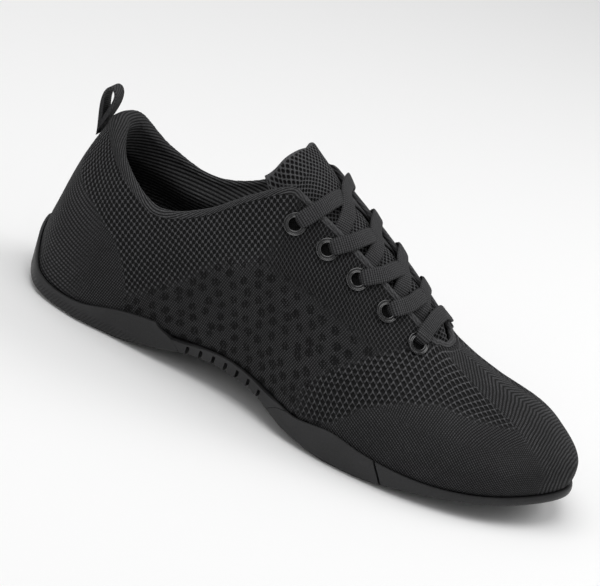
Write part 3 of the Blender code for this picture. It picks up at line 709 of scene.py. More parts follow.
# %% Lengths along and across the cloth
HEEL_TURN = 2.0
AXIS_Z = 10.0
COURSE_TABLE = (-80.0, 280.0, 721)
FAN_STATION = 10.0
FAN_BLEND = (-1.0, 0.3)
FAN_CAP = 0.3
COURSE_TILT = math.radians(24.0)
TILT_HEEL, TILT_TOE = (-17.0, 40.0), (165.0, 245.0)
PIVOT_ALONG, PIVOT_HEIGHT = (0.0, 60.0, 120.0, 200.0), (50.0, 42.0, 32.0, 25.0)
Warp = namedtuple("Warp", "reach length heading phase")
WARPS = [
    Warp(0.12, 23.0, 0.4, 0.0),
    Warp(0.07, 13.0, 1.9, 2.0),
]


def course_lines(along, height):
    """Turn lengths along the knit's courses, which climb towards the toe on the quarter."""
    table = np.linspace(*COURSE_TABLE)
    tilt = COURSE_TILT * ramp(table, *TILT_HEEL) * (1.0 - ramp(table, *TILT_TOE))
    step = table[1] - table[0]
    here = np.interp(along, table, tilt)
    pivot = np.interp(along, PIVOT_ALONG, PIVOT_HEIGHT)
    run = np.interp(along, table, np.cumsum(np.cos(tilt)) * step) + (height - pivot) * np.sin(here)
    climb = np.interp(along, table, np.cumsum(np.sin(tilt)) * step)
    rise = pivot + (height - pivot) * np.cos(here) - climb
    return run, rise


def uneven(along, across):
    """Shift the stitches a little, as hand and machine do."""
    for warp in WARPS:
        turn = (along * math.cos(warp.heading) + across * math.sin(warp.heading)) / warp.length
        wave = warp.reach * np.sin(FULL_TURN * turn + warp.phase)
        along, across = along + wave, across - wave
    return along, across


def cloth_places(at, points, height):
    """Length along the shoe and across it for points (places, lines, 3), in millimetres."""
    station = station_of(at)[:, None]
    heel_x = STATIONS[int(HEEL_TURN)].base_x
    gone = chord_knots(np.swapaxes(points, 0, 1)).T
    out, back = (int(np.argmin(np.abs(at - side_place(HEEL_TURN, side)))) for side in (-1, 1))
    round_back = np.where(at[:, None] < ROWS, gone[out] - gone, gone - gone[back])
    along = np.where(station < HEEL_TURN, heel_x - round_back, points[..., 0])
    angle = np.arctan2(points[..., 2] - AXIS_Z, np.abs(points[..., 1]))
    sample = np.linspace(SHOW_LINE, EDGE, LENGTH_SAMPLES)
    model = skin([FAN_STATION], sample)
    model_height = chord_knots(model)[0]
    model_angle = np.arctan2(model[0, :, 2] - AXIS_Z, np.abs(model[0, :, 1]))
    model_angle = np.append(model_angle, math.pi / 2)
    model_height = np.append(model_height, model_height[-1] + np.hypot(*model[0, -1, 1:]) * FAN_CAP)
    fan = np.interp(angle, model_angle, model_height)
    blend = ramp(station - FAN_STATION, *FAN_BLEND)
    return uneven(*course_lines(along, height * (1 - blend) + fan * blend))


# %% [markdown]
# ## The knit upper
# One grid goes round the last and up its side: tucked under the foot, up the outside, over a small rounded
# top that hides under the collar band, and back down the inside. Where the stitch is open the grid itself
# dips, so pockets and tufts are real relief. Ribs, twill and the finest yarn are left to the material.

# %% Knit zones
Knot = namedtuple("Knot", "x z")
COUNTER_EDGE = [
    Knot(9.0, 62.0),
    Knot(18.0, 54.0),
    Knot(27.0, 50.0),
    Knot(34.0, 46.0),
    Knot(41.0, 42.0),
    Knot(47.5, 34.5),
    Knot(52.0, 26.0),
    Knot(56.0, 14.0),
]
CHEVRON_LOW = [
    Knot(139.0, 12.0),
    Knot(159.0, 17.0),
    Knot(167.6, 27.7),
    Knot(180.0, 34.3),
    Knot(194.0, 37.7),
    Knot(207.0, 36.6),
    Knot(220.0, 36.2),
    Knot(231.0, 37.4),
]
CHEVRON_HIGH = [
    Knot(141.0, 25.4),
    Knot(153.0, 38.0),
    Knot(165.0, 47.0),
    Knot(175.0, 52.8),
    Knot(191.0, 54.0),
    Knot(231.0, 45.0),
]
SOFT, WIDE_SOFT = (-1.5, 1.5), (-3.0, 2.0)
COUNTER_END, COUNTER_SOFT = 57.0, (0.0, 2.0)
HEEL_RIBS_END, HEEL_RIBS_SOFT = 2.0, (-0.25, 0.55)
RIBS_START = (182.0, 190.0)
RIBS_HALF, RIBS_SPREAD = 9.0, 0.12
CHEVRON_START = (136.0, 152.0)
CHEVRON_END, CHEVRON_SOFT = 233.0, (0.0, 6.0)
TOE_START, TOE_TOP_START = (158.0, 170.0), (192.0, 202.0)
TOE_LEVEL, TOE_LEAN, TOE_LAP = 24.0, 0.9, 2.0
TOE_FOLD_LINE, FOLD_SOFT = 3.0, (-0.1, 0.1)
STAY_START = (5.7, 6.6)
STAY_DEPTH, STAY_SOFT = 1.15, (-0.15, 0.25)
MESH_X = (0.0, 40.0, 62.0, 84.0, 104.0, 130.0)
MESH_DEPTH = (3.0, 3.2, 2.4, 1.35, 1.0, 0.7)
MESH_SOFT = (-0.35, 0.35)


def height_at(table, x):
    return np.interp(x, [k.x for k in table], [k.z for k in table])


def knit_zones(at, line, points):
    """Soft masks, one for each stitch, that sum to one at every point."""
    x, y, z = np.moveaxis(points, 2, 0)
    station = station_of(at)[:, None] + 0.0 * line
    below_edge = EDGE - line
    counter = ramp(height_at(COUNTER_EDGE, x) - z, *SOFT) * ramp(COUNTER_END - x, *COUNTER_SOFT)
    heel_ribs = counter * ramp(HEEL_RIBS_END - station, *HEEL_RIBS_SOFT)
    free = 1.0 - counter
    half = RIBS_HALF + RIBS_SPREAD * (x - RIBS_START[1])
    cross_ribs = free * ramp(x, *RIBS_START) * ramp(half - np.abs(y), *SOFT)
    free = free - cross_ribs
    low, high = height_at(CHEVRON_LOW, x), height_at(CHEVRON_HIGH, x)
    chevron = free * ramp(z - low, *SOFT) * ramp(high - z, *WIDE_SOFT)
    chevron = chevron * ramp(x, *CHEVRON_START) * ramp(CHEVRON_END - x, *CHEVRON_SOFT)
    free = free - chevron
    toe = free * ramp(x + TOE_LEAN * (TOE_LEVEL - z), *TOE_START) * ramp(low + TOE_LAP - z, *WIDE_SOFT)
    toe = np.maximum(toe, free * ramp(x, *TOE_TOP_START))
    free = free - toe
    toe_under = toe * ramp(TOE_FOLD_LINE - line, *FOLD_SOFT)
    eyestay = free * ramp(station, *STAY_START) * ramp(STAY_DEPTH - below_edge, *STAY_SOFT)
    free = free - eyestay
    hole_mesh = free * ramp(np.interp(x, MESH_X, MESH_DEPTH) - below_edge, *MESH_SOFT)
    return {
        "heel_ribs": heel_ribs,
        "counter_twill": counter - heel_ribs,
        "cross_ribs": cross_ribs,
        "chevron": chevron,
        "toe_twill": toe - toe_under,
        "toe_under": toe_under,
        "eyestay": eyestay,
        "hole_mesh": hole_mesh,
        "quarter": free - hole_mesh,
    }


# %% Stitch relief
Stitch = namedtuple("Stitch", "pitch row skew depth")
HOLE_MESH = Stitch(2.7, 1.65, 1.2, 0.3)
CHEVRONS = Stitch(2.7, 2.3, 0.75, 0.35)
EYESTAY = Stitch(1.85, 1.4, 0.0, 0.12)
TUFT_PITCH, TUFT_ROW = 6.4, 5.6
TUFT_WIDE, TUFT_HIGH = 2.2, 2.1
TUFT_NUDGE = 0.4
TUFT_REACH, TUFT_SOFT = 1.1, 0.5
TUFT_BASE, TUFT_VARY = 0.75, 0.25
TUFT_DEPTH = 0.3
TUFT_CELLS, TUFT_SEED = 64, 5
DIP_EDGE = (0.3, 0.9)


def diamonds(along, across, stitch):
    """The same net as the node group: 1 in the middle of a hole, 0 on the yarn round it."""
    bend = np.abs(across / (2 * stitch.row) % 1.0 - 0.5) * 2.0
    turn = along / stitch.pitch + stitch.skew * bend
    return np.abs(np.cos(FULL_TURN * turn) + np.cos(np.pi * across / stitch.row)) / 2


def loop_pockets(along, across, stitch):
    """The same rows of loops as the node group: 0 on the yarn, 1 in the pocket under it, 0.5 between."""
    yarn, pocket = np.zeros_like(along), np.zeros_like(along)
    for shift in (0.0, 0.5):
        lap = np.abs((along / stitch.pitch + shift) % 1.0 - 0.5)
        rise = ((across / (2 * stitch.row) + shift) % 1.0 - STITCH_TOP) * 2 * stitch.row
        above = rise + lap * 2 * stitch.skew * stitch.row
        leg = np.maximum(1.0 - np.abs(above) / STITCH_YARN, 0.0) * (1.0 - STITCH_FADE * lap)
        shadow = np.maximum(1.0 - np.abs(above + POCKET_DROP) / POCKET_HALF, 0.0)
        yarn = np.maximum(yarn, leg)
        pocket = np.maximum(pocket, shadow * np.maximum(1.0 - lap / POCKET_LAP, 0.0))
    return (1.0 + pocket - yarn) / 2


def tuft_spots(along, across):
    """1 in the middle of a tuft, 0 between; each is nudged off its place in a staggered lattice."""
    nudges = np.random.default_rng(TUFT_SEED).uniform(-1.0, 1.0, (TUFT_CELLS, TUFT_CELLS, 3))
    turn = along / TUFT_PITCH
    column = np.floor(turn)
    rise = across / TUFT_ROW + (column % 2) / 2
    row = np.floor(rise)
    nudge = nudges[column.astype(int) % TUFT_CELLS, row.astype(int) % TUFT_CELLS]
    wide = (turn - column - 0.5 + nudge[..., 0] * TUFT_NUDGE / 2) * TUFT_PITCH / TUFT_WIDE
    high = (rise - row - 0.5 + nudge[..., 1] * TUFT_NUDGE / 2) * TUFT_ROW / TUFT_HIGH
    body = ramp(TUFT_REACH - np.hypot(wide, high), 0.0, TUFT_SOFT)
    return body * (TUFT_BASE + TUFT_VARY * nudge[..., 2])


def knit_relief(zones, along, across, tufts):
    """Dips of the open stitches below the plain cloth, in millimetres."""
    depth = tufts * TUFT_DEPTH
    depth = depth + zones["eyestay"] * EYESTAY.depth * ramp(diamonds(along, across, EYESTAY), *DIP_EDGE)
    for name, stitch in (("hole_mesh", HOLE_MESH), ("chevron", CHEVRONS)):
        depth = depth + zones[name] * stitch.depth * ramp(loop_pockets(along, across, stitch), *DIP_EDGE)
    return -depth


# %% Holes for the eyelets
EYELETS = 5
EYELET_FIRST_X, EYELET_PITCH = 112.0, 15.75
EYELET_FROM_EDGE = (10.7, 8.6, 8.1, 7.8, 7.2)
EYELET_SEARCH_LINE = 3.5
PIT_RADIUS = 3.0
PIT_EDGE = 0.35
PIT_DEPTH = 1.05


def eyelet_place(number, side):
    """Place round the last and line of an eyelet, measured down from the throat edge."""
    at = side_place(station_at_x(EYELET_FIRST_X + number * EYELET_PITCH), side)
    line = np.linspace(EDGE, EYELET_SEARCH_LINE, LENGTH_SAMPLES)
    return at, float(np.interp(EYELET_FROM_EDGE[number], chord_knots(skin([at], line))[0], line))


def eyelet_spot(number, side):
    at, line = eyelet_place(number, side)
    return skin([at], [line])[0, 0], skin_normal([at], [line])[0, 0]


def bore_pits(points):
    """1 inside the hole under each eyelet, 0 outside it."""
    pits = np.zeros(points.shape[:2])
    for side in (-1, 1):
        for number in range(EYELETS):
            centre, normal = eyelet_spot(number, side)
            away = points - centre
            away = away - (away @ normal)[..., None] * normal
            near = np.linalg.norm(points - centre, axis=2) < 3 * PIT_RADIUS
            pits += near * ramp(PIT_RADIUS - np.linalg.norm(away, axis=2), -PIT_EDGE, PIT_EDGE)
    return pits


# %% Knit paint
YARN_DARK = (0.004, 0.004, 0.0042)
YARN_LIGHT = (0.088, 0.088, 0.0915)
Twill = namedtuple("Twill", "zone pitch slant height")
TWILLS = [
    Twill("heel_ribs", 1.7, 58.0, 0.13),
    Twill("counter_twill", 1.0, -42.0, 0.105),
    Twill("hole_mesh", 1.3, -42.0, 0.04),
    Twill("quarter", 0.95, -42.0, 0.1),
    Twill("chevron", 1.4, -60.0, 0.04),
    Twill("toe_twill", 0.95, -20.0, 0.12),
    Twill("toe_under", 1.0, 40.0, 0.11),
    Twill("eyestay", 0.95, 0.0, 0.035),
    Twill("cross_ribs", 1.15, 0.0, 0.145),
]
# A net: its zone, node group and stitch, the edges of its pockets' painted shade, and the strength and edges
# of its knots' painted highlight.
Net = namedtuple("Net", "zone group stitch low high knot knot_low knot_high")
HOLE_NETS = [
    Net("hole_mesh", LOOPS, HOLE_MESH, 0.4, 0.62, 1.9, 0.45, 0.05),
    Net("chevron", LOOPS, CHEVRONS, 0.44, 0.68, 1.8, 0.47, 0.05),
    Net("eyestay", NET, EYESTAY, 0.25, 0.6, 0.38, 0.4, 0.05),
]
TUFT_STROKES = Stitch(1.7, 1.0, 0.3, 0.0)
BEAD_PITCH, BEAD_SLANTS = 1.1, (50.0, -40.0)
STROKE_EDGE, STROKE_DARK = (0.08, 0.3), 0.95
BEAD_SHARE, BEAD_BASE = 0.9, 0.4
# Painted light from above on the knots: the share added near the top of the side and the level low down.
KNOT_TOP_LIGHT, KNOT_LOW_LIGHT = 0.4, 0.7
KNOT_BUMP, HOLE_BUMP = 0.15, -0.35
YARN_FUZZ = Grain(1500.0, 3.0, 0.6, 0.65)
YARN_PATCHES = Grain(60.0, 2.0, 0.2, 0.85)
TWILL_SHARE = 4.7
KNOT_LIGHT_HEIGHTS = (25.0, 60.0)


def knit_paint():
    """Black yarn: loops and knots with painted highlights that grow brighter higher up the side as if lit
    from above, dark pockets that are partly the open holes and partly painted shade, and a fine twill that
    changes with the zone.
    """
    paint, tree, shader = new_paint("black_knit", roughness=0.75, specular=0.14)
    along, across, height = cloth_axes(tree)
    masks = {twill.zone: attribute(tree, twill.zone).outputs["Fac"] for twill in TWILLS}
    # The pit under each eyelet's bore starts dark: painted shade inside the hole.
    dark = attribute(tree, "bore").outputs["Fac"]
    knots = 0.0
    # Each net darkens its pockets, partly for the real open holes and partly as painted shade, and lightens
    # the knots of its yarn as painted highlights.
    for net in HOLE_NETS:
        hole = stitches_on(tree, net.group, along, across, net.stitch)
        dark = calc(tree, "MULTIPLY_ADD", soft_mask(tree, hole, net.low, net.high), masks[net.zone], dark)
        knot = calc(tree, "MULTIPLY", soft_mask(tree, hole, net.knot_low, net.knot_high), net.knot)
        knots = calc(tree, "MULTIPLY_ADD", knot, masks[net.zone], knots)
    strokes = stitches_on(tree, NET, along, across, TUFT_STROKES)
    strokes = calc(tree, "MULTIPLY", strokes, attribute(tree, "tuft").outputs["Fac"])
    dark = calc(tree, "MULTIPLY_ADD", soft_mask(tree, strokes, *STROKE_EDGE), STROKE_DARK, dark)
    beads = []
    for slant in BEAD_SLANTS:
        bead = ridges_on(tree, along, across, BEAD_PITCH, slant)
        beads.append(calc(tree, "MULTIPLY_ADD", bead, BEAD_SHARE, BEAD_BASE))
    fine = 0.0
    for twill in TWILLS:
        crest = ridges_on(tree, along, across, twill.pitch, twill.slant)
        crest = calc(tree, "MULTIPLY", calc(tree, "MULTIPLY", crest, twill.height), beads[twill.slant > 0.0])
        fine = calc(tree, "MULTIPLY_ADD", crest, masks[twill.zone], fine)
    # Painted light from above: the knots' highlights grow brighter with height up the side.
    lift = calc(tree, "MULTIPLY_ADD", soft_mask(tree, height, *KNOT_LIGHT_HEIGHTS), KNOT_TOP_LIGHT, KNOT_LOW_LIGHT)
    lit = calc(tree, "MULTIPLY_ADD", fine, TWILL_SHARE, calc(tree, "MULTIPLY", knots, lift))
    for grain in (YARN_FUZZ, YARN_PATCHES):
        lit = grained(tree, lit, grain)
    open_yarn = calc(tree, "SUBTRACT", 1.0, calc(tree, "MINIMUM", dark, 1.0))
    shade(tree, shader, calc(tree, "MULTIPLY", lit, open_yarn), YARN_DARK, YARN_LIGHT)
    relief = calc(tree, "MULTIPLY_ADD", knots, KNOT_BUMP, fine)
    raise_bump(tree, shader, calc(tree, "MULTIPLY_ADD", dark, HOLE_BUMP, relief))
    return paint


# %% Knit upper
TOP_ANGLES = (30.0, 90.0, 150.0)
INSIDE_LINES = 6


def knit_upper():
    low = np.full(len(ROUND), SHOW_LINE)
    share = np.linspace(0.0, 1.0, KNIT_ROWS)
    shown, height = lines_by_length(ROUND, low, KNIT_TOP, share)
    tucked = np.broadcast_to(np.linspace(0.0, SHOW_LINE, TUCK_ROWS, endpoint=False), (len(ROUND), TUCK_ROWS))
    line = np.concatenate([tucked, shown], axis=1)
    below = chord_knots(skin(ROUND, line[:, : TUCK_ROWS + 1]))
    height = np.concatenate([(below - below[:, -1:])[:, :-1], height], axis=1)
    points, normals = skin(ROUND, line), skin_normal(ROUND, line)
    along, across = cloth_places(ROUND, points, height)
    zones = knit_zones(ROUND, line, points)
    fade = ramp(height, 0.0, 1.0) * ramp(height[:, -1:] - height, 0.0, 1.0)
    bore = bore_pits(points)
    tufts = tuft_spots(along, across) * zones["quarter"]
    relief = knit_relief(zones, along, across, tufts) * fade
    outside = points + normals * (relief * (1 - bore) - PIT_DEPTH * bore)[..., None]
    top, out = points[:, -1], normals[:, -1]
    up = unit(points[:, -1] - points[:, -3])
    half = KNIT_THICK / 2
    rim = []
    for angle in TOP_ANGLES:
        turn = math.radians(angle)
        rim.append(top - out * half + (out * math.cos(turn) + up * math.sin(turn)) * half)
    under = np.linspace(1.0, 0.0, INSIDE_LINES)[None] * KNIT_TOP[:, None]
    inside = skin(ROUND, under) - skin_normal(ROUND, under) * KNIT_THICK
    rings = np.concatenate([outside, np.stack(rim, 1), inside, outside[:, :1]], axis=1)
    extra = rings.shape[1] - line.shape[1]
    notes = {word: spread(mask, extra) for word, mask in zones.items()}
    notes["cloth"] = np.stack([spread(values, extra) for values in (along, across, height)], axis=2)
    notes["bore"] = spread(bore, extra)
    notes["tuft"] = spread(tufts, extra)
    mesh = lay_grid("upper_knit", np.swapaxes(rings, 0, 1), notes)
    return sew("upper_knit", [mesh])


upper = knit_upper()
dress(upper, knit_paint(), "knit_upper", "upper")

# %% [markdown]
# ## Collar, throat binding and lining
# A ribbed cloth lines the shoe, is padded round the ankle, rolls over the top edge and is sewn down on the
# outside as a narrow band, with a thin plain roll round the lace throat. It is one more grid, whose rows
# start on the outside at the lower edge of the band, go over the rim and run down the inside.

# %% Band, rim and wall of the collar
LINING_COLUMNS = 620
BAND_ROWS = 9
RIM_ROWS = 13
LINING_ROWS = 66
LINING_BACK_ROWS, BACK_GAP = 5, 0.1
BAND_RISE = 0.45
WALL = 2.0
COLLAR_WALL, HEEL_WALL = 6.0, 8.5
HEEL_WALL_STATIONS = (0.8, 1.9)
PAD_FULL_STATION = 4.0
PAD_END_STATION = 5.8
PAD_START_LINE = 3.4
LINING_LOW = 0.12
LINING_PACE = 1.25
Rim = namedtuple("Rim", "station rise")
RIM_RISE = [Rim(0.0, 5.0), Rim(1.0, 4.4), Rim(1.8, 3.0), Rim(2.6, 2.4), Rim(3.4, 2.2), Rim(13.0, 2.4)]
SLIM_STATIONS, SLIM_LINES = (1.2, 2.8), (4.35, 5.0)
SLIM_SHARE = 0.8
RIB_PITCH = 1.65
RIB_OUTSIDE = 1.2
RIB_DEPTH, RIB_POWER = 0.26, 0.7
RIB_FADE_ROWS, SEAM_SHADOW_ROWS = 4, 2
RIB_STATIONS = (5.9, 6.5)
RIB_LINES = (1.3, 2.1)
SHADED_STATIONS, SHADED_ROWS = (1.6, 2.6), (16, 26)
BINDING_GROOVE, GROOVE_PLACE, GROOVE_SPREAD = 0.3, 0.55, 0.2


def wall_depth(at, line):
    """Depth of the lining below the outside, padded under the collar and slim at the ankle's rim."""
    station = station_of(at)[:, None]
    pad = 1.0 - ramp(station, PAD_FULL_STATION, PAD_END_STATION)
    full = HEEL_WALL + (COLLAR_WALL - HEEL_WALL) * ramp(station, *HEEL_WALL_STATIONS)
    slim = SLIM_SHARE * ramp(station, *SLIM_STATIONS) * ramp(line, *SLIM_LINES)
    return WALL + (full - WALL) * pad * ramp(line, PAD_START_LINE, SLIM_LINES[0]) * (1.0 - slim)


def collar_band(at, throat):
    """Lines and points of the band on the outside, grooved round the throat."""
    share = np.linspace(0.0, 1.0, BAND_ROWS)
    top = np.full(len(at), float(EDGE))
    line, _ = lines_by_length(at, line_below_edge(at, band_width(at)), top, share)
    groove = np.exp(-(((share - GROOVE_PLACE) / GROOVE_SPREAD) ** 2))
    swell = BAND_RISE * np.sin(share ** 0.5 * np.pi / 2)
    swell = swell - BINDING_GROOVE * throat[:, None] * groove
    return line, skin(at, line) + skin_normal(at, line) * swell[..., None]


def collar_rim(at, throat, outer):
    """Roll over the top edge, from the last row of the band to the inside."""
    edge = np.full((len(at), 1), float(EDGE))
    top = skin(at, edge)[:, 0]
    inner = top - skin_normal(at, edge)[:, 0] * wall_depth(at, edge)
    middle, side = (outer + inner) / 2, (outer - inner) / 2
    rise = np.interp(station_of(at), [rim.station for rim in RIM_RISE], [rim.rise for rim in RIM_RISE])
    rise = rise * (1.0 - throat) + np.linalg.norm(side, axis=1) * throat
    up = unit(top - skin(at, edge - NUDGE)[:, 0]) * rise[:, None]
    turns = np.linspace(0.0, np.pi, RIM_ROWS + 2)[1:-1]
    return np.stack([middle + side * math.cos(t) + up * math.sin(t) for t in turns], 1)


def lining_wall(at):
    """Lines and points down the inside, from the top edge to the insole."""
    top, low = np.full(len(at), float(EDGE)), np.full(len(at), LINING_LOW)
    line, _ = lines_by_length(at, top, low, np.linspace(0.0, 1.0, LINING_ROWS) ** LINING_PACE)
    return line, skin(at, line) - skin_normal(at, line) * wall_depth(at, line)[..., None]


# %% Collar lining
def rib_phase(face, first):
    """Ribs counted at each point: level on the inside, by length over the rim and the band."""
    gone = chord_knots(face)
    outside = np.maximum(gone[:, first][:, None] - gone, 0.0)
    level = np.where(np.arange(face.shape[1]) < first, face[:, first, 2][:, None], face[..., 2])
    return -(level + RIB_OUTSIDE * outside) / RIB_PITCH


def collar_lining():
    at = np.linspace(0.0, TURNS, LINING_COLUMNS + 1)
    throat = ramp(station_of(at), *RIB_STATIONS)
    band_line, band = collar_band(at, throat)
    inner_line, inner = lining_wall(at)
    face = np.concatenate([band, collar_rim(at, throat, band[:, -1]), inner], axis=1)
    first = BAND_ROWS + RIM_ROWS
    phase = rib_phase(face, first)
    normals = unit(np.cross(np.gradient(face, axis=0), np.gradient(face, axis=1)))
    ribs = RIB_DEPTH * (0.5 - 0.5 * np.cos(FULL_TURN * phase)) ** RIB_POWER
    ribbed = np.concatenate([np.ones((len(at), first)), ramp(inner_line, *RIB_LINES)], axis=1)
    fade = ramp(np.arange(face.shape[1])[None], 0, RIB_FADE_ROWS) * (1.0 - throat)[:, None] * ribbed
    face = face - normals * (ribs * fade)[..., None]
    back_line = LINING_LOW + (band_line[:, :1] - LINING_LOW) * np.linspace(0, 1, LINING_BACK_ROWS)[None]
    back = skin(at, back_line) - skin_normal(at, back_line) * (KNIT_THICK + BACK_GAP)
    rings = np.concatenate([face, back, face[:, :1]], axis=1)
    extra = rings.shape[1] - face.shape[1]
    row = np.arange(rings.shape[1])
    heel = 1.0 - ramp(station_of(at), *SHADED_STATIONS)
    notes = {
        "shaded": (heel[:, None] * (1.0 - ramp(row, *SHADED_ROWS))).T,
        "rib": spread(phase, extra),
        "binding": np.broadcast_to(throat[:, None], rings.shape[:2]).T,
        "ribbed": spread(ribbed, extra),
        # The seam mark is a painted shadow line at the foot of the band, where it steps up from the knit.
        "seam": np.broadcast_to(1.0 - ramp(row, 0, SEAM_SHADOW_ROWS), rings.shape[:2]).T,
    }
    return sew("collar_lining", [lay_grid("collar_lining", np.swapaxes(rings, 0, 1), notes)])


# %% Lining paint
LINING_LIGHT = (0.095, 0.095, 0.098)
FLAT_TONE, PLAIN_TONE = 0.4, 0.6
CREST_POWER = 0.8
SEAM_SHADOW = 0.85
LINING_BUMP = 0.2
CLOTH_FUZZ = Grain(1500.0, 3.0, 0.5, 0.5)
HEEL_SHADE = 0.4


def lining_paint():
    """Ribbed lining cloth: bright crests and dark valleys, plain round the lace throat, with a painted shadow
    line along the foot of the band.
    """
    paint, tree, shader = new_paint("ribbed_lining", roughness=0.75, specular=0.14)
    words = ("rib", "binding", "ribbed", "shaded", "seam")
    note = {word: attribute(tree, word).outputs["Fac"] for word in words}
    crest = calc(tree, "POWER", ridges_on(tree, note["rib"], 0.0, 1.0), CREST_POWER)
    crest = calc(tree, "MAXIMUM", crest, calc(tree, "MULTIPLY", note["binding"], PLAIN_TONE))
    away = calc(tree, "SUBTRACT", crest, FLAT_TONE)
    crest = calc(tree, "MULTIPLY_ADD", away, note["ribbed"], FLAT_TONE)
    lit = grained(tree, crest, CLOTH_FUZZ)
    # The seam mark darkens the foot of the band as a painted shadow line.
    for word, share in (("shaded", HEEL_SHADE), ("seam", SEAM_SHADOW)):
        lit = calc(tree, "MULTIPLY", lit, calc(tree, "MULTIPLY_ADD", note[word], -share, 1.0))
    shade(tree, shader, lit, YARN_DARK, LINING_LIGHT)
    raise_bump(tree, shader, calc(tree, "MULTIPLY", crest, LINING_BUMP))
    return paint


lining = collar_lining()
dress(lining, lining_paint(), "knit_upper")

# %% [markdown]
# ## Rubber sole
# The sole is a shallow cup in three mouldings: a heel pod with a tab up the back, a grooved bridge under the
# arch and a forefoot pod. One cup is made over the last and cut at the two seams, so the three always fit.

# %% Rings of the cup
SOLE_COLUMNS = 520
CUP_CROSS = 26
SOLE_LEDGE = 1.4
WALL_TOP = 1.3
SEAT_GAP = 0.38
SEAT_SHARES = (0.0, 0.25, 0.5, 0.75, 1.0)
SIDE_SHAPE = ((0.55, 0.0), (0.15, 0.2), (0.0, 2.2), (0.0, 6.0))
WALL_LINES = (1.1, 3.4)
FILLET, FILLET_SHARE = 0.45, 0.4


def wall_line(at, height):
    """Line on the upper at the height of the top of the cup."""
    line = np.linspace(*WALL_LINES, LENGTH_SAMPLES)
    heights = skin(at, line)[..., 2]
    return np.array([np.interp(h, row, line) for h, row in zip(height, heights)])


def fillet(rings, reach):
    """Replace each inner corner of rings (places, corners, 3) by three points on a small arc."""
    kept = [rings[:, 0]]
    for k in range(1, rings.shape[1] - 1):
        corner = rings[:, k]
        ends = []
        for other in (rings[:, k - 1], rings[:, k + 1]):
            away = other - corner
            length = np.linalg.norm(away, axis=1, keepdims=True)
            ends.append(corner + away / length * np.minimum(reach, length * FILLET_SHARE))
        kept += [ends[0], corner / 2 + (ends[0] + ends[1]) / 4, ends[1]]
    kept.append(rings[:, -1])
    return np.stack(kept, axis=1)


def cup_rings(at):
    tread, floor, wall = round_last(HEIGHTS, at).T
    tread = np.maximum(tread, 0.0)
    top = wall_line(at, wall)
    corner = skin(at, [0.0])[:, 0]
    corner[:, 2] = floor
    seat = 1.0 + (top - 1.0)[:, None] * np.array(SEAT_SHARES)
    seats = skin(at, seat) + skin_normal(at, seat) * SEAT_GAP
    out = unit(skin_normal(at, [float(BELLY)])[:, 0] * (1, 1, 0))
    lip = seats[:, -1] + out * WALL_TOP
    side = skin(at, [float(BELLY)])[:, 0] + out * SOLE_LEDGE
    rings = [corner, *np.moveaxis(seats, 1, 0), lip]
    for share, inset in SIDE_SHAPE:
        spot = side - out * inset
        spot[:, 2] = tread + (np.minimum(wall, floor + BELLY_RISE) - tread) * share
        rings.append(spot)
    return fillet(np.stack(rings, 1), FILLET)


def across_rungs(ring, steps):
    """Points from the lateral half of a closed ring straight across to the medial half."""
    half = (len(ring) - 1) // 2
    lateral, medial = ring[: half + 1], ring[half:][::-1]
    share = np.linspace(0.0, 1.0, steps + 1)[:, None, None]
    return lateral[None] * (1 - share) + medial[None] * share


def whole_cup(name):
    at = np.linspace(0.0, TURNS, SOLE_COLUMNS + 1)
    rings = np.swapaxes(cup_rings(at), 0, 1)
    parts = [lay_grid("wall", rings)]
    parts.append(lay_grid("tray", across_rungs(rings[0], CUP_CROSS)))
    parts.append(lay_grid("tread", across_rungs(rings[-1], CUP_CROSS)))
    return sew(name, parts)


# %% Cutting tools for the sole
Seam = namedtuple("Seam", "x z")
HEEL_SEAM = [
    Seam(66.0, 30.0),
    Seam(68.5, 20.0),
    Seam(73.0, 15.5),
    Seam(80.0, 12.8),
    Seam(86.0, 8.0),
    Seam(90.0, 0.0),
    Seam(92.0, -5.0),
]
FORE_SEAM = [
    Seam(148.0, 30.0),
    Seam(146.0, 15.0),
    Seam(141.0, 12.4),
    Seam(134.0, 10.6),
    Seam(130.0, 7.0),
    Seam(128.0, 0.0),
    Seam(127.0, -5.0),
]
ARCH_TOP = [
    Seam(86.0, 13.7),
    Seam(92.0, 15.0),
    Seam(106.0, 16.6),
    Seam(120.0, 15.4),
    Seam(128.0, 13.7),
]
ARCH_HEEL_START, ARCH_FORE_START = 3, 2
SEAM_STEPS = 40
REACH = 60.0
HEEL_END, TOE_END = -40.0, 300.0
GROOVES = 7
GROOVE_FIRST_X, GROOVE_PITCH = 88.3, 6.1
GROOVE_WIDTH, GROOVE_DEPTH = 1.3, 2.0
COMB_BASE, COMB_BACK = -3.0, 1.0
SLIT_X, SLIT_WIDTH, SLIT_DEPTH = 189.0, 1.0, 3.0
SLIT_LEAN, SLIT_LOW, SLIT_HIGH = 13.0, -1.0, 20.0


def smooth_seam(seam, shift):
    """The seam's corners rounded into one flowing line of x, z points."""
    points = np.array(seam)[None]
    knots = chord_knots(points)
    line = smooth_curve(knots, points, np.linspace(0.0, knots[0, -1], SEAM_STEPS)[None])[0]
    return [(x + shift, z) for x, z in line]


def slab(name, outline, y_low, y_high):
    """An x, z outline pulled out along Y, as a cutting tool."""
    bm = bmesh.new()
    corners = [bm.verts.new(world((x, y_low, z))) for x, z in outline]
    face = bm.faces.new(corners)
    pulled = bmesh.ops.extrude_face_region(bm, geom=[face])["geom"]
    moved = [item for item in pulled if isinstance(item, bmesh.types.BMVert)]
    bmesh.ops.translate(bm, verts=moved, vec=(0.0, (y_high - y_low) * MM, 0.0))
    bmesh.ops.recalc_face_normals(bm, faces=bm.faces[:])
    return as_piece(name, bm)


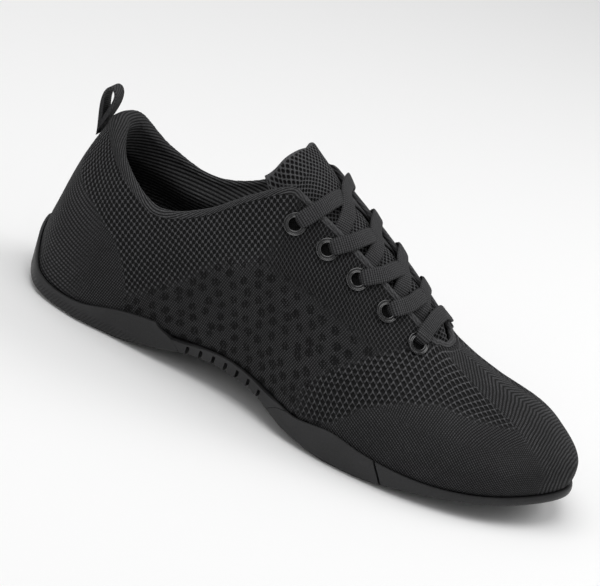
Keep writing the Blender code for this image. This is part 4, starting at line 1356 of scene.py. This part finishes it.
def shape_with(piece, tool, operation):
    """Apply one boolean and drop the tool."""
    modifier = piece.modifiers.new(tool.name, "BOOLEAN")
    modifier.operation = operation
    modifier.solver = "EXACT"
    modifier.object = tool
    graph = bpy.context.evaluated_depsgraph_get()
    mesh = bpy.data.meshes.new_from_object(piece.evaluated_get(graph))
    piece.modifiers.clear()
    piece.data = mesh
    for polygon in mesh.polygons:
        polygon.use_smooth = True
    mesh.set_sharp_from_angle(angle=SOFT_EDGE)
    bpy.data.objects.remove(tool, do_unlink=True)


def groove_places():
    """x, station and height of the tread at each groove of the arch."""
    for k in range(GROOVES):
        x = GROOVE_FIRST_X + k * GROOVE_PITCH
        station = station_at_x(x)
        yield x, station, round_last(HEIGHTS, [station])[0, 0]


def groove_comb():
    """Comb under the arch whose teeth cut the grooves."""
    outline = [(GROOVE_FIRST_X - GROOVE_PITCH, COMB_BASE)]
    half, root = GROOVE_WIDTH / 2, COMB_BASE + COMB_BACK
    for x, _, tread in groove_places():
        top = tread + GROOVE_DEPTH
        outline += [(x - half, root), (x - half, top), (x + half, top), (x + half, root)]
    outline.append((GROOVE_FIRST_X + GROOVES * GROOVE_PITCH, COMB_BASE))
    return slab("groove_comb", outline, -REACH, REACH)


def flex_slit():
    reach = SOLE_LEDGE - skin([station_at_x(SLIT_X)], [float(BELLY)])[0, 0, 1]
    outline = [(SLIT_X, SLIT_LOW), (SLIT_X + SLIT_WIDTH, SLIT_LOW)]
    outline += [(SLIT_X + SLIT_WIDTH - SLIT_LEAN, SLIT_HIGH), (SLIT_X - SLIT_LEAN, SLIT_HIGH)]
    return slab("flex_slit", outline, -reach - SLIT_DEPTH, -reach + SLIT_DEPTH)


# %% Rubber paint
RUBBER_DARK = (0.012, 0.012, 0.0125)
RUBBER_LIGHT = (0.034, 0.034, 0.035)
SCORE_TOP, SCORE_SOFT = 6.5, 2.5
SCORE_PITCH, SCORE_SLANT = 1.5, -35.0
SCORE_DARK, SCORE_BUMP = -0.6, -0.3
RUBBER_GRAIN, RUBBER_CLOUD = (2600.0, 2.0), (45.0, 3.0)
GRAIN_TONE, GRAIN_BUMP = 0.35, 0.025
CLOUD_TONE, LEAST_TONE = 0.4, 0.2
CLOUD_ROUGH, LEAST_ROUGH = 0.12, 0.42


def rubber_paint(name, scored):
    """Satin moulded rubber with a fine grain, scored with slanted lines low on the heel."""
    paint, tree, shader = new_paint(name, roughness=0.5, specular=0.25)
    grain, cloud = grain_over(tree, *RUBBER_GRAIN), grain_over(tree, *RUBBER_CLOUD)
    split = tree.nodes.new("ShaderNodeSeparateXYZ")
    tree.links.new(object_place(tree), split.inputs[0])
    wide, high = (calc(tree, "DIVIDE", split.outputs[k], MM) for k in (0, 2))
    low = soft_mask(tree, calc(tree, "SUBTRACT", SCORE_TOP, high), 0.0, SCORE_SOFT)
    low = calc(tree, "MULTIPLY", low, scored)
    score = calc(tree, "MULTIPLY", ridges_on(tree, wide, high, SCORE_PITCH, SCORE_SLANT), low)
    tone = calc(tree, "MULTIPLY_ADD", cloud, CLOUD_TONE, LEAST_TONE)
    tone = calc(tree, "MULTIPLY_ADD", grain, GRAIN_TONE, tone)
    tone = calc(tree, "MULTIPLY", tone, calc(tree, "MULTIPLY_ADD", score, SCORE_DARK, 1.0))
    shade(tree, shader, tone, RUBBER_DARK, RUBBER_LIGHT)
    height = calc(tree, "MULTIPLY_ADD", grain, GRAIN_BUMP, calc(tree, "MULTIPLY", score, SCORE_BUMP))
    raise_bump(tree, shader, height)
    tree.links.new(calc(tree, "MULTIPLY_ADD", cloud, CLOUD_ROUGH, LEAST_ROUGH), shader.inputs["Roughness"])
    return paint


# %% Sole pods and arch bridge
SLOT_WIDTH, SLOT_DEPTH = 1.5, 3.2
SLOT_BELOW, SLOT_ABOVE = 6.0, 4.4


def side_slots():
    """One slot down each flank of the bridge above every groove, as boxes in one tool."""
    bm = bmesh.new()
    size = (SLOT_WIDTH, 2 * SLOT_DEPTH, SLOT_BELOW + SLOT_ABOVE)
    stretch = Matrix.Diagonal(Vector((*size, 1.0 / MM)) * MM)
    for x, station, tread in groove_places():
        middle = tread + (SLOT_ABOVE - SLOT_BELOW) / 2
        for side in (-1, 1):
            flank = skin([side_place(station, side)], [float(BELLY)])[0, 0, 1] + side * SOLE_LEDGE
            spot = Matrix.Translation(Vector(world((x, flank, middle))))
            bmesh.ops.create_cube(bm, size=1.0, matrix=spot @ stretch)
    return as_piece("side_slots", bm)


def end_block(name, seam, far_x, shift):
    line = smooth_seam(seam, shift)
    return slab(name, line + [(far_x, line[-1][1]), (far_x, line[0][1])], -REACH, REACH)


def sole_pieces():
    half = GAP / 2
    heel = whole_cup("heel_pod")
    shape_with(heel, end_block("keep_heel", HEEL_SEAM, HEEL_END, -half), "INTERSECT")
    arch = whole_cup("arch_bridge")
    back = smooth_seam(HEEL_SEAM[ARCH_HEEL_START:], half)
    front = smooth_seam(FORE_SEAM[ARCH_FORE_START:], -half)
    top = smooth_seam([back[0], *ARCH_TOP, front[0]], 0.0)
    between = back + front[::-1] + top[-2:0:-1]
    shape_with(arch, slab("keep_arch", between, -REACH, REACH), "INTERSECT")
    shape_with(arch, groove_comb(), "DIFFERENCE")
    shape_with(arch, side_slots(), "DIFFERENCE")
    fore = whole_cup("forefoot_pod")
    shape_with(fore, end_block("keep_forefoot", FORE_SEAM, TOE_END, half), "INTERSECT")
    shape_with(fore, flex_slit(), "DIFFERENCE")
    dress(heel, rubber_paint("heel_rubber", 1.0), "sole_rubber", "outsole_heel")
    dress(arch, rubber_paint("arch_rubber", 0.0), "arch_rubber", "midsole_arch")
    dress(fore, rubber_paint("forefoot_rubber", 0.0), "sole_rubber", "outsole_forefoot")


sole_pieces()

# %% [markdown]
# ## Insole
# A cloth-covered footbed fills the tray of the sole. It shows only through the collar. Two grids of rungs
# across the shoe, one above the other, are joined by a rounded edge.

# %% Insole
INSOLE_COLUMNS = 260
INSOLE_CROSS = 24
INSOLE_MARGIN = 0.8
INSOLE_THICK = 3.5
INSOLE_DISH = 0.8
InsoleRing = namedtuple("InsoleRing", "rise inset")
INSOLE_RINGS = [
    InsoleRing(0.0, 0.6),
    InsoleRing(0.6, 0.0),
    InsoleRing(INSOLE_THICK - 0.9, 0.0),
    InsoleRing(INSOLE_THICK, 1.2),
]
INSOLE_FUZZ, INSOLE_WEAR = (1800.0, 3.0), (50.0, 2.0)
FUZZ_TONE, WEAR_TONE, FUZZ_BUMP = 0.6, 0.3, 0.1


def insole_piece():
    at = np.linspace(0.0, TURNS, INSOLE_COLUMNS + 1)
    floor = round_last(HEIGHTS, at)[:, 1]
    out = unit(skin_normal(at, [float(BELLY)])[:, 0] * (1, 1, 0))
    base = skin(at, [0.0])[:, 0] - out * INSOLE_MARGIN
    rings = []
    for rise, inset in INSOLE_RINGS:
        ring = base - out * inset
        ring[:, 2] = floor + GAP + rise
        rings.append(ring)
    top = across_rungs(rings[-1], INSOLE_CROSS)
    middle = np.sin(np.linspace(0.0, np.pi, INSOLE_CROSS + 1))[:, None] ** 2
    top[..., 2] -= INSOLE_DISH * middle
    parts = [lay_grid("side", np.array(rings)), lay_grid("top", top)]
    parts.append(lay_grid("under", across_rungs(rings[0], INSOLE_CROSS)))
    return sew("insole_footbed", parts)


def insole_paint():
    """Brushed cloth over foam."""
    paint, tree, shader = new_paint("insole_cloth", roughness=0.9, specular=0.08)
    fuzz, worn = grain_over(tree, *INSOLE_FUZZ), grain_over(tree, *INSOLE_WEAR)
    tone = calc(tree, "MULTIPLY_ADD", worn, WEAR_TONE, calc(tree, "MULTIPLY", fuzz, FUZZ_TONE))
    shade(tree, shader, tone, YARN_DARK, YARN_LIGHT)
    raise_bump(tree, shader, calc(tree, "MULTIPLY", fuzz, FUZZ_BUMP))
    return paint


dress(insole_piece(), insole_paint(), "insole_cloth", "insole")

# %% [markdown]
# ## Tongue
# The tongue is a padded cushion of open mesh that lies under the throat and stands up behind
# the laces. Its middle surface comes from the throat edges and a ridge line. A thickness that falls to
# nothing at the border makes it a closed pad.

# %% Tongue surface
Ridge = namedtuple("Ridge", "station y z")
TONGUE = [
    Ridge(6.0, 0.0, 101.5),
    Ridge(7.0, 0.0, 91.3),
    Ridge(8.0, 0.0, 79.2),
    Ridge(9.0, 0.5, 68.8),
    Ridge(10.0, 1.0, 60.0),
]
LACE_ROOM = 2.8
TONGUE_THICK = 3.0
TONGUE_TOP_RUN, TONGUE_CORNER_RUN = 8.0, 7.0
TONGUE_TOP_NARROW, TONGUE_SLOPE = 0.2, 0.56
TONGUE_CORNER_LIFT, TONGUE_SHOULDER_LIFT, TONGUE_CROWN_DROP = 8.0, 1.6, 1.0
TONGUE_LINES = (4.45, 4.725, 5.0)
RIDGE_INDEX = 3
TongueEnd = namedtuple("TongueEnd", "run arch drop narrow")
TONGUE_ENDS = [
    TongueEnd(4.0, 0.68, 1.5, 0.93),
    TongueEnd(8.0, 0.34, 3.0, 0.82),
    TongueEnd(15.0, 0.16, 4.0, 0.66),
]


def tongue_sections(station, depth):
    """Seven points across the tongue at each station, depth below the outside of the upper."""
    station = np.asarray(station, float)
    table = np.array(TONGUE)
    ridge = smooth_curve(table[None, :, 0], table[None, :, 1:], station[None])[0]
    sides = []
    for side in (-1, 1):
        at = side_place(station, side)
        sides.append(skin(at, TONGUE_LINES) - skin_normal(at, TONGUE_LINES) * depth)
    x = np.interp(station, STRAIGHT, STRAIGHT_X)
    crown = np.stack([x, ridge[:, 0], ridge[:, 1] - depth + WALL + LACE_ROOM], 1)
    return np.concatenate([sides[0], crown[:, None], sides[1][:, ::-1]], axis=1)


def tongue_face(station, index):
    """Point and upward normal on the tongue's top; index counts the seven points across."""
    spots = []
    for step, shift in ((0.0, 0.0), (-NUDGE, 0.0), (NUDGE, 0.0), (0.0, -NUDGE), (0.0, NUDGE)):
        points = tongue_sections([min(station + step, TONGUE[-1].station)], WALL + LACE_ROOM)
        knots = chord_knots(points)
        place = np.interp(index + shift, range(points.shape[1]), knots[0])
        spots.append(smooth_curve(knots, points, np.array([[place]]))[0, 0])
    normal = unit(np.cross(spots[2] - spots[1], spots[4] - spots[3]))
    return spots[0], normal * np.sign(normal[2])


# %% Tongue pad
TONGUE_ACROSS = 124
TONGUE_ALONG = 150
TONGUE_TOP_ROWS = 34
TONGUE_MESH = Stitch(2.3, 1.15, 0.0, 0.45)
CROWN_SPREAD = 0.06
BORDER_ROUND, BORDER_DIP = 1.6, (0.8, 2.0)
TONGUE_DIP_EDGE = (0.2, 0.9)


def tongue_middle():
    """Rows of points (along, across, 3) on the middle surface of the tongue."""
    station = np.linspace(TONGUE[0].station, TONGUE[-1].station, TONGUE_ALONG)
    points = tongue_sections(station, WALL + LACE_ROOM + TONGUE_THICK / 2)
    knots = chord_knots(points)
    share = np.linspace(0.0, 1.0, TONGUE_ACROSS + 1)
    body = smooth_curve(knots, points, knots[:, -1:] * share)
    corner = (2 * share - 1) ** 2
    rows = []
    for rise in np.linspace(1.0, 0.0, TONGUE_TOP_ROWS, endpoint=False):
        run = (TONGUE_TOP_RUN + TONGUE_CORNER_RUN * corner) * rise
        narrow = body[0, :, 1] * TONGUE_TOP_NARROW * rise
        lift = run * TONGUE_SLOPE + TONGUE_CORNER_LIFT * corner * rise
        lift = lift + TONGUE_SHOULDER_LIFT * np.sin(FULL_TURN * share) ** 2 * rise
        lift = lift - TONGUE_CROWN_DROP * np.exp(-(((share - 0.5) / CROWN_SPREAD) ** 2)) * rise
        rows.append(body[0] + np.stack([-run, -narrow, lift], 1))
    ends = []
    arch = body[-1, :, 2] - body[-1, :, 2].min()
    for end in TONGUE_ENDS:
        drop = arch * (1 - end.arch) + end.drop
        shift = np.stack([np.full_like(drop, end.run), 0 * drop, -drop], 1)
        ends.append(body[-1] * (1, end.narrow, 1) + shift)
    return np.concatenate([np.array(rows), body, np.array(ends)])


def tongue_pad():
    middle = tongue_middle()
    around, along = np.gradient(middle, axis=1), np.gradient(middle, axis=0)
    normals = unit(np.cross(along, around))
    normals = normals * np.sign(normals[..., 2:].mean())
    lengths = np.cumsum(np.linalg.norm(np.diff(middle[:, TONGUE_ACROSS // 2], axis=0), axis=1))
    run = np.concatenate([[0.0], lengths])[:, None]
    girth = chord_knots(middle)
    to_side = np.minimum(girth, girth[:, -1:] - girth)
    to_end = np.minimum(run, run[-1] - run)
    border = np.minimum(to_side, to_end)
    half = TONGUE_THICK / 2 * np.sqrt(1 - (1 - np.clip(border / BORDER_ROUND, 0, 1)) ** 2)
    off_middle = girth - girth[:, TONGUE_ACROSS // 2][:, None]
    net = ramp(diamonds(run, off_middle, TONGUE_MESH), *TONGUE_DIP_EDGE)
    dip = TONGUE_MESH.depth * net * ramp(border, *BORDER_DIP)
    notes = {"cloth": np.stack([run + 0 * girth, off_middle, border], axis=2)}
    top = lay_grid("top", middle + normals * (half - dip)[..., None], notes)
    under = lay_grid("under", middle - normals * half[..., None], notes)
    return sew("tongue_pad", [top, under])


# %% Tongue paint
TONGUE_LIGHT = (0.085, 0.085, 0.088)
TONGUE_HOLE, TONGUE_BORDER = (0.2, 0.6), (0.5, 1.1)
TONGUE_BUMP = -0.3


def tongue_paint():
    """Open spacer mesh: diamond holes between bright yarns, plain at the rolled border."""
    paint, tree, shader = new_paint("open_mesh", roughness=0.8, specular=0.12)
    along, across, border = cloth_axes(tree)
    net = stitches_on(tree, NET, along, across, TONGUE_MESH)
    inside = soft_mask(tree, border, *TONGUE_BORDER)
    hole = calc(tree, "MULTIPLY", soft_mask(tree, net, *TONGUE_HOLE), inside)
    lit = grained(tree, calc(tree, "SUBTRACT", 1.0, hole), CLOTH_FUZZ)
    shade(tree, shader, lit, YARN_DARK, TONGUE_LIGHT)
    raise_bump(tree, shader, calc(tree, "MULTIPLY", hole, TONGUE_BUMP))
    return paint


tongue = tongue_pad()
dress(tongue, tongue_paint(), "tongue_mesh", "tongue")

# %% [markdown]
# ## Eyelets
# An eyelet is pressed from thin sheet: a tube through the knit whose top is rolled out into a flat ring with
# a bead at its rim and another round the bore. That is a turned shape, so its outline is spun round an axis.

# %% Eyelets
EYELET_SEGMENTS = 48
Turned = namedtuple("Turned", "radius height")
EYELET_OUTLINE = [
    Turned(2.7, -2.4),
    Turned(2.7, 0.85),
    Turned(2.8, 1.12),
    Turned(2.98, 1.22),
    Turned(3.16, 1.12),
    Turned(3.28, 0.8),
    Turned(3.5, 0.62),
    Turned(3.9, 0.6),
    Turned(4.2, 0.75),
    Turned(4.36, 1.0),
    Turned(4.52, 1.08),
    Turned(4.7, 0.98),
    Turned(4.8, 0.65),
    Turned(4.75, 0.35),
    Turned(3.3, 0.3),
    Turned(3.3, -2.4),
]


def eyelet_piece(number, side, word, paint):
    bm = bmesh.new()
    corners = [bm.verts.new((t.radius * MM, 0.0, t.height * MM)) for t in EYELET_OUTLINE]
    edges = [bm.edges.new(pair) for pair in zip(corners, corners[1:] + corners[:1])]
    bmesh.ops.spin(
        bm, geom=corners + edges, cent=(0, 0, 0), axis=(0, 0, 1), angle=FULL_TURN,
        steps=EYELET_SEGMENTS, use_merge=True, dvec=(0, 0, 0),
    )
    bmesh.ops.remove_doubles(bm, verts=bm.verts[:], dist=WELD)
    bmesh.ops.recalc_face_normals(bm, faces=bm.faces[:])
    centre, normal = eyelet_spot(number, side)
    turn = Vector(normal).to_track_quat("Z", "Y").to_matrix().to_4x4()
    bmesh.ops.transform(bm, verts=bm.verts[:], matrix=Matrix.Translation(Vector(world(centre))) @ turn)
    piece = as_piece(f"eyelet_ring_{word}_{number + 1}", bm)
    dress(piece, paint, "eyelet_enamel", f"eyelet_{word}_{number + 1}")


# %% Enamel paint
ENAMEL_DARK, ENAMEL_LIGHT = (0.006, 0.006, 0.0065), (0.014, 0.014, 0.015)
PEEL = (900.0, 1.0)
PEEL_BUMP, PEEL_ROUGH, LEAST_PEEL_ROUGH = 0.015, 0.1, 0.17


def enamel_paint():
    """Baked black enamel over pressed metal, with a faint orange-peel."""
    paint, tree, shader = new_paint("black_enamel", roughness=0.25, specular=0.8)
    peel = grain_over(tree, *PEEL)
    shade(tree, shader, peel, ENAMEL_DARK, ENAMEL_LIGHT)
    raise_bump(tree, shader, calc(tree, "MULTIPLY", peel, PEEL_BUMP))
    tree.links.new(calc(tree, "MULTIPLY_ADD", peel, PEEL_ROUGH, LEAST_PEEL_ROUGH), shader.inputs["Roughness"])
    return paint


eyelet_paint = enamel_paint()
for side, word in ((-1, "lateral"), (1, "medial")):
    for number in range(EYELETS):
        eyelet_piece(number, side, word, eyelet_paint)

# %% [markdown]
# ## Laces
# A flat woven lace runs down into each eyelet from above, and comes out again from under the throat edge one
# row higher, so that each crossing lies on the tongue. Each strap is a grid rolled into a flat oval that
# follows a smooth path, narrows where it is gathered in the eyelet, and tucks under the far edge.

# %% Lace paths
LACE_WIDTH, LACE_THICK = 7.0, 1.25
BORE_WIDTH, BORE_THICK = 4.8, 1.3
LACE_RUNS = (1.1, 1.1, 1.1, 0.7, 0.0)
LaceShares = namedtuple("LaceShares", "edge ridge")
LACE_SHARES = {-1: LaceShares(0.36, 0.66), 1: LaceShares(0.2, 0.5)}
LACE_LIFT = 0.25
EYELET_LIP = 1.22
BINDING_CLEAR = 0.75
Tuck = namedtuple("Tuck", "share index on_top")
LACE_TUCK = [Tuck(0.87, 0.5, True), Tuck(1.0, 1.0, False), Tuck(1.0, 1.5, False)]
LACE_STEPS = 130
LACE_SIDES = 22
BORE_RUN = (2.0, 6.5)
LACE_JOIN = 0.1
LACE_ROUND = (0.55, 0.7)
# A strap through its eyelet: height over the ring or its middle, run ahead, and the way its face looks.
Thread = namedtuple("Thread", "on_lip rise run limit up ahead")
LACE_ENTRY = [
    Thread(0.0, -3.0, 1.5, 1.0, 0.0, -1.0),
    Thread(0.0, -0.4, 1.55, 1.0, 0.15, -1.0),
    Thread(1.0, -0.25, 2.5, 1.0, 1.0, -0.6),
    Thread(1.0, 0.0, 4.4, 0.5, 1.0, 0.0),
    Thread(1.0, -0.5, 7.0, 0.75, 1.0, 0.0),
]


def eyelet_end(number, side, aim):
    """Points and normals where a strap comes up through an eyelet and turns to the point it aims at."""
    centre, normal = eyelet_spot(number, side)
    run = aim - centre
    run = run - normal * (run @ normal)
    reach = np.linalg.norm(run)
    ahead = run / reach
    rest = EYELET_LIP + LACE_THICK / 2
    spots = []
    for row in LACE_ENTRY:
        rise = rest * row.on_lip + row.rise
        point = centre + normal * rise + ahead * min(row.run, reach * row.limit)
        spots.append((point, unit(normal * row.up + ahead * row.ahead)))
    return spots


def lace_station(number, share):
    """Station a share of the way from an eyelet to where its strap goes under the far edge."""
    ends = (number, number + LACE_RUNS[number])
    here, there = (station_at_x(EYELET_FIRST_X + end * EYELET_PITCH) for end in ends)
    return here + (there - here) * share


def over_edge(number, side, share):
    """Point and normal where a strap clears the binding of the throat."""
    at = side_place(lace_station(number, share), side)
    normal = skin_normal([at], [float(EDGE)])[0, 0]
    return skin([at], [float(EDGE)])[0, 0] + normal * (BINDING_CLEAR + LACE_THICK / 2), normal


def strap_path(number, side, level):
    """Points and normals of a strap from its eyelet, over the ridge, to the far side."""

    def on_tongue(share, index, height):
        spot, up = tongue_face(lace_station(number, share), RIDGE_INDEX - side * index)
        return spot + up * height, up

    edge = over_edge(number, side, LACE_SHARES[side].edge)
    spots = eyelet_end(number, side, edge[0]) + [edge]
    spots.append(on_tongue(LACE_SHARES[side].ridge, 0.0, level))
    if LACE_RUNS[number]:
        for tuck in LACE_TUCK:
            spots.append(on_tongue(tuck.share, tuck.index, level if tuck.on_top else LACE_ROOM / 2))
    else:
        edge = over_edge(number, -side, 0.0)
        spots += [edge] + eyelet_end(number, -side, edge[0])[::-1]
    points, normals = (np.array(column)[None] for column in zip(*spots))
    knots = chord_knots(points)
    at = np.linspace(0.0, knots[0, -1], LACE_STEPS + 1)[None]
    return smooth_curve(knots, points, at)[0], unit(smooth_curve(knots, normals, at)[0]), at[0]


# %% Lace straps
def strap_mesh(centres, normals, gone, both_ends):
    """A flat oval tube along a path, closed at its ends."""
    tangents = unit(np.gradient(centres, axis=0))
    across = unit(np.cross(normals, tangents))
    lift = np.cross(tangents, across)
    gather = 1.0 - ramp(gone, *BORE_RUN)
    if both_ends:
        gather = np.maximum(gather, 1.0 - ramp(gone[-1] - gone, *BORE_RUN))
    width = LACE_WIDTH + (BORE_WIDTH - LACE_WIDTH) * gather
    thick = LACE_THICK + (BORE_THICK - LACE_THICK) * gather
    turn = np.linspace(0.0, FULL_TURN, LACE_SIDES + 1)
    wide = np.sign(np.cos(turn)) * np.abs(np.cos(turn)) ** LACE_ROUND[0]
    high = np.sign(np.sin(turn)) * np.abs(np.sin(turn)) ** LACE_ROUND[1]
    rings = (
        centres[:, None]
        + across[:, None] * (wide[None] * width[:, None] / 2)[..., None]
        + lift[:, None] * (high[None] * thick[:, None] / 2)[..., None]
    )
    ends = [np.repeat(rings[k].mean(0)[None, None], LACE_SIDES + 1, axis=1) for k in (0, -1)]
    rings = np.concatenate([ends[0], rings, ends[1]])
    gone = np.concatenate([gone[:1], gone, gone[-1:]])
    side = wide[None] * np.concatenate([width[:1], width, width[-1:]])[:, None] / 2
    notes = {"cloth": np.stack([np.repeat(gone[:, None], LACE_SIDES + 1, axis=1), side, 0 * side], axis=2)}
    return lay_grid("strap", rings, notes)


def lace_pieces(paint):
    low = LACE_LIFT + LACE_THICK / 2
    high = low + LACE_THICK - LACE_JOIN
    for number in range(EYELETS - 1):
        levels = ((-1, low), (1, high))
        straps = [strap_mesh(*strap_path(number, side, level), False) for side, level in levels]
        piece = sew(f"lace_crossing_{number + 1}", straps)
        dress(piece, paint, "lace_cord", f"lace_cross_{number + 1}")
    bar = sew("lace_toe_bar", [strap_mesh(*strap_path(EYELETS - 1, -1, high), True)])
    dress(bar, paint, "lace_cord", "lace_bar")


# %% Woven tape paint
TAPE_DARK, TAPE_LIGHT = (0.006, 0.006, 0.006), (0.075, 0.075, 0.078)
WARP_PITCH = 0.9
RIB_TONE, WARP_TONE = 0.6, 0.3
TAPE_BUMP = 0.18
TAPE_FUZZ = Grain(1600.0, 3.0, 0.5, 0.7)


def tape_paint(name, rib_pitch, slant):
    """Woven tape: fine ribs across, broken by the warp threads."""
    paint, tree, shader = new_paint(name, roughness=0.75, specular=0.12)
    along, across, _ = cloth_axes(tree)
    ribs = ridges_on(tree, along, across, rib_pitch, slant)
    warp = ridges_on(tree, across, along, WARP_PITCH)
    weave = calc(tree, "MULTIPLY_ADD", ribs, RIB_TONE, calc(tree, "MULTIPLY", warp, WARP_TONE))
    shade(tree, shader, grained(tree, weave, TAPE_FUZZ), TAPE_DARK, TAPE_LIGHT)
    raise_bump(tree, shader, calc(tree, "MULTIPLY", weave, TAPE_BUMP))
    return paint


LACE_RIB_PITCH = 1.0
lace_pieces(tape_paint("woven_lace", LACE_RIB_PITCH, 0.0))

# %% [markdown]
# ## Pull loop
# A folded tape stands up at the back of the collar. Its path is a teardrop in the middle plane, and the tape
# is a flat tube along it, so the eye of the loop is really open.

# %% Pull loop
LOOP_WIDTH, LOOP_STRAP = 7.5, 1.3
LOOP_LINE = 4.35
LOOP_RISE, LOOP_BELLY, LOOP_EYE_LOW = 23.0, 6.6, 8.0
LOOP_LEAN, LOOP_STEP_OFF = 0.04, 0.5
LOOP_STEPS = 96
LOOP_SIDES = 9
LOOP_RIB_PITCH, LOOP_RIB_SLANT = 1.3, 30.0
TEARDROP_HALF = 2 / (3 * math.sqrt(3))


def pull_loop():
    foot = skin([0.0], [LOOP_LINE])[0, 0] + skin_normal([0.0], [LOOP_LINE])[0, 0] * (GAP + LOOP_STEP_OFF)
    rise = np.array((LOOP_LEAN, 0.0, 1.0)) / math.hypot(LOOP_LEAN, 1.0)
    outward = np.array((-rise[2], 0.0, rise[0]))
    turn = np.linspace(0.0, FULL_TURN, LOOP_STEPS + 1)
    swell = (np.sin(turn) * (1 - np.cos(turn)) * TEARDROP_HALF)[:, None]
    reach = ((1 - np.cos(turn)) / 2)[:, None]
    outer = foot + rise * reach * LOOP_RISE + outward * swell * LOOP_BELLY
    drop = LOOP_EYE_LOW + reach * (LOOP_RISE - LOOP_EYE_LOW - LOOP_STRAP)
    inner = foot + rise * drop + outward * swell * (LOOP_BELLY - 2 * LOOP_STRAP)
    half = LOOP_WIDTH / 2
    across = np.linspace(-half, half, LOOP_SIDES)
    rows = [(outer, y) for y in across] + [(inner, y) for y in across[::-1]] + [(outer, -half)]
    rings = np.array([ring + np.array((0.0, y, 0.0)) for ring, y in rows])
    length = chord_knots(outer[None])[0]
    place = np.stack([np.broadcast_to(length, rings.shape[:2]), rings[..., 1], 0 * rings[..., 1]], axis=2)
    return sew("heel_pull_loop", [lay_grid("loop", rings, {"cloth": place})])


loop = pull_loop()
loop_paint = tape_paint("loop_tape", LOOP_RIB_PITCH, LOOP_RIB_SLANT)
dress(loop, loop_paint, "loop_tape", "pull_loop")

# %% [markdown]
# ## Size and finish
# The dressed shoe has to stay the size of its solids, so both boxes are written side by side.

# %% Size and finish
new_box = [list(corner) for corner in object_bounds()]
for word, box in (("solids", cad_box), ("dressed", new_box)):
    print(word, np.round(np.array(box) / MM, 1).tolist())
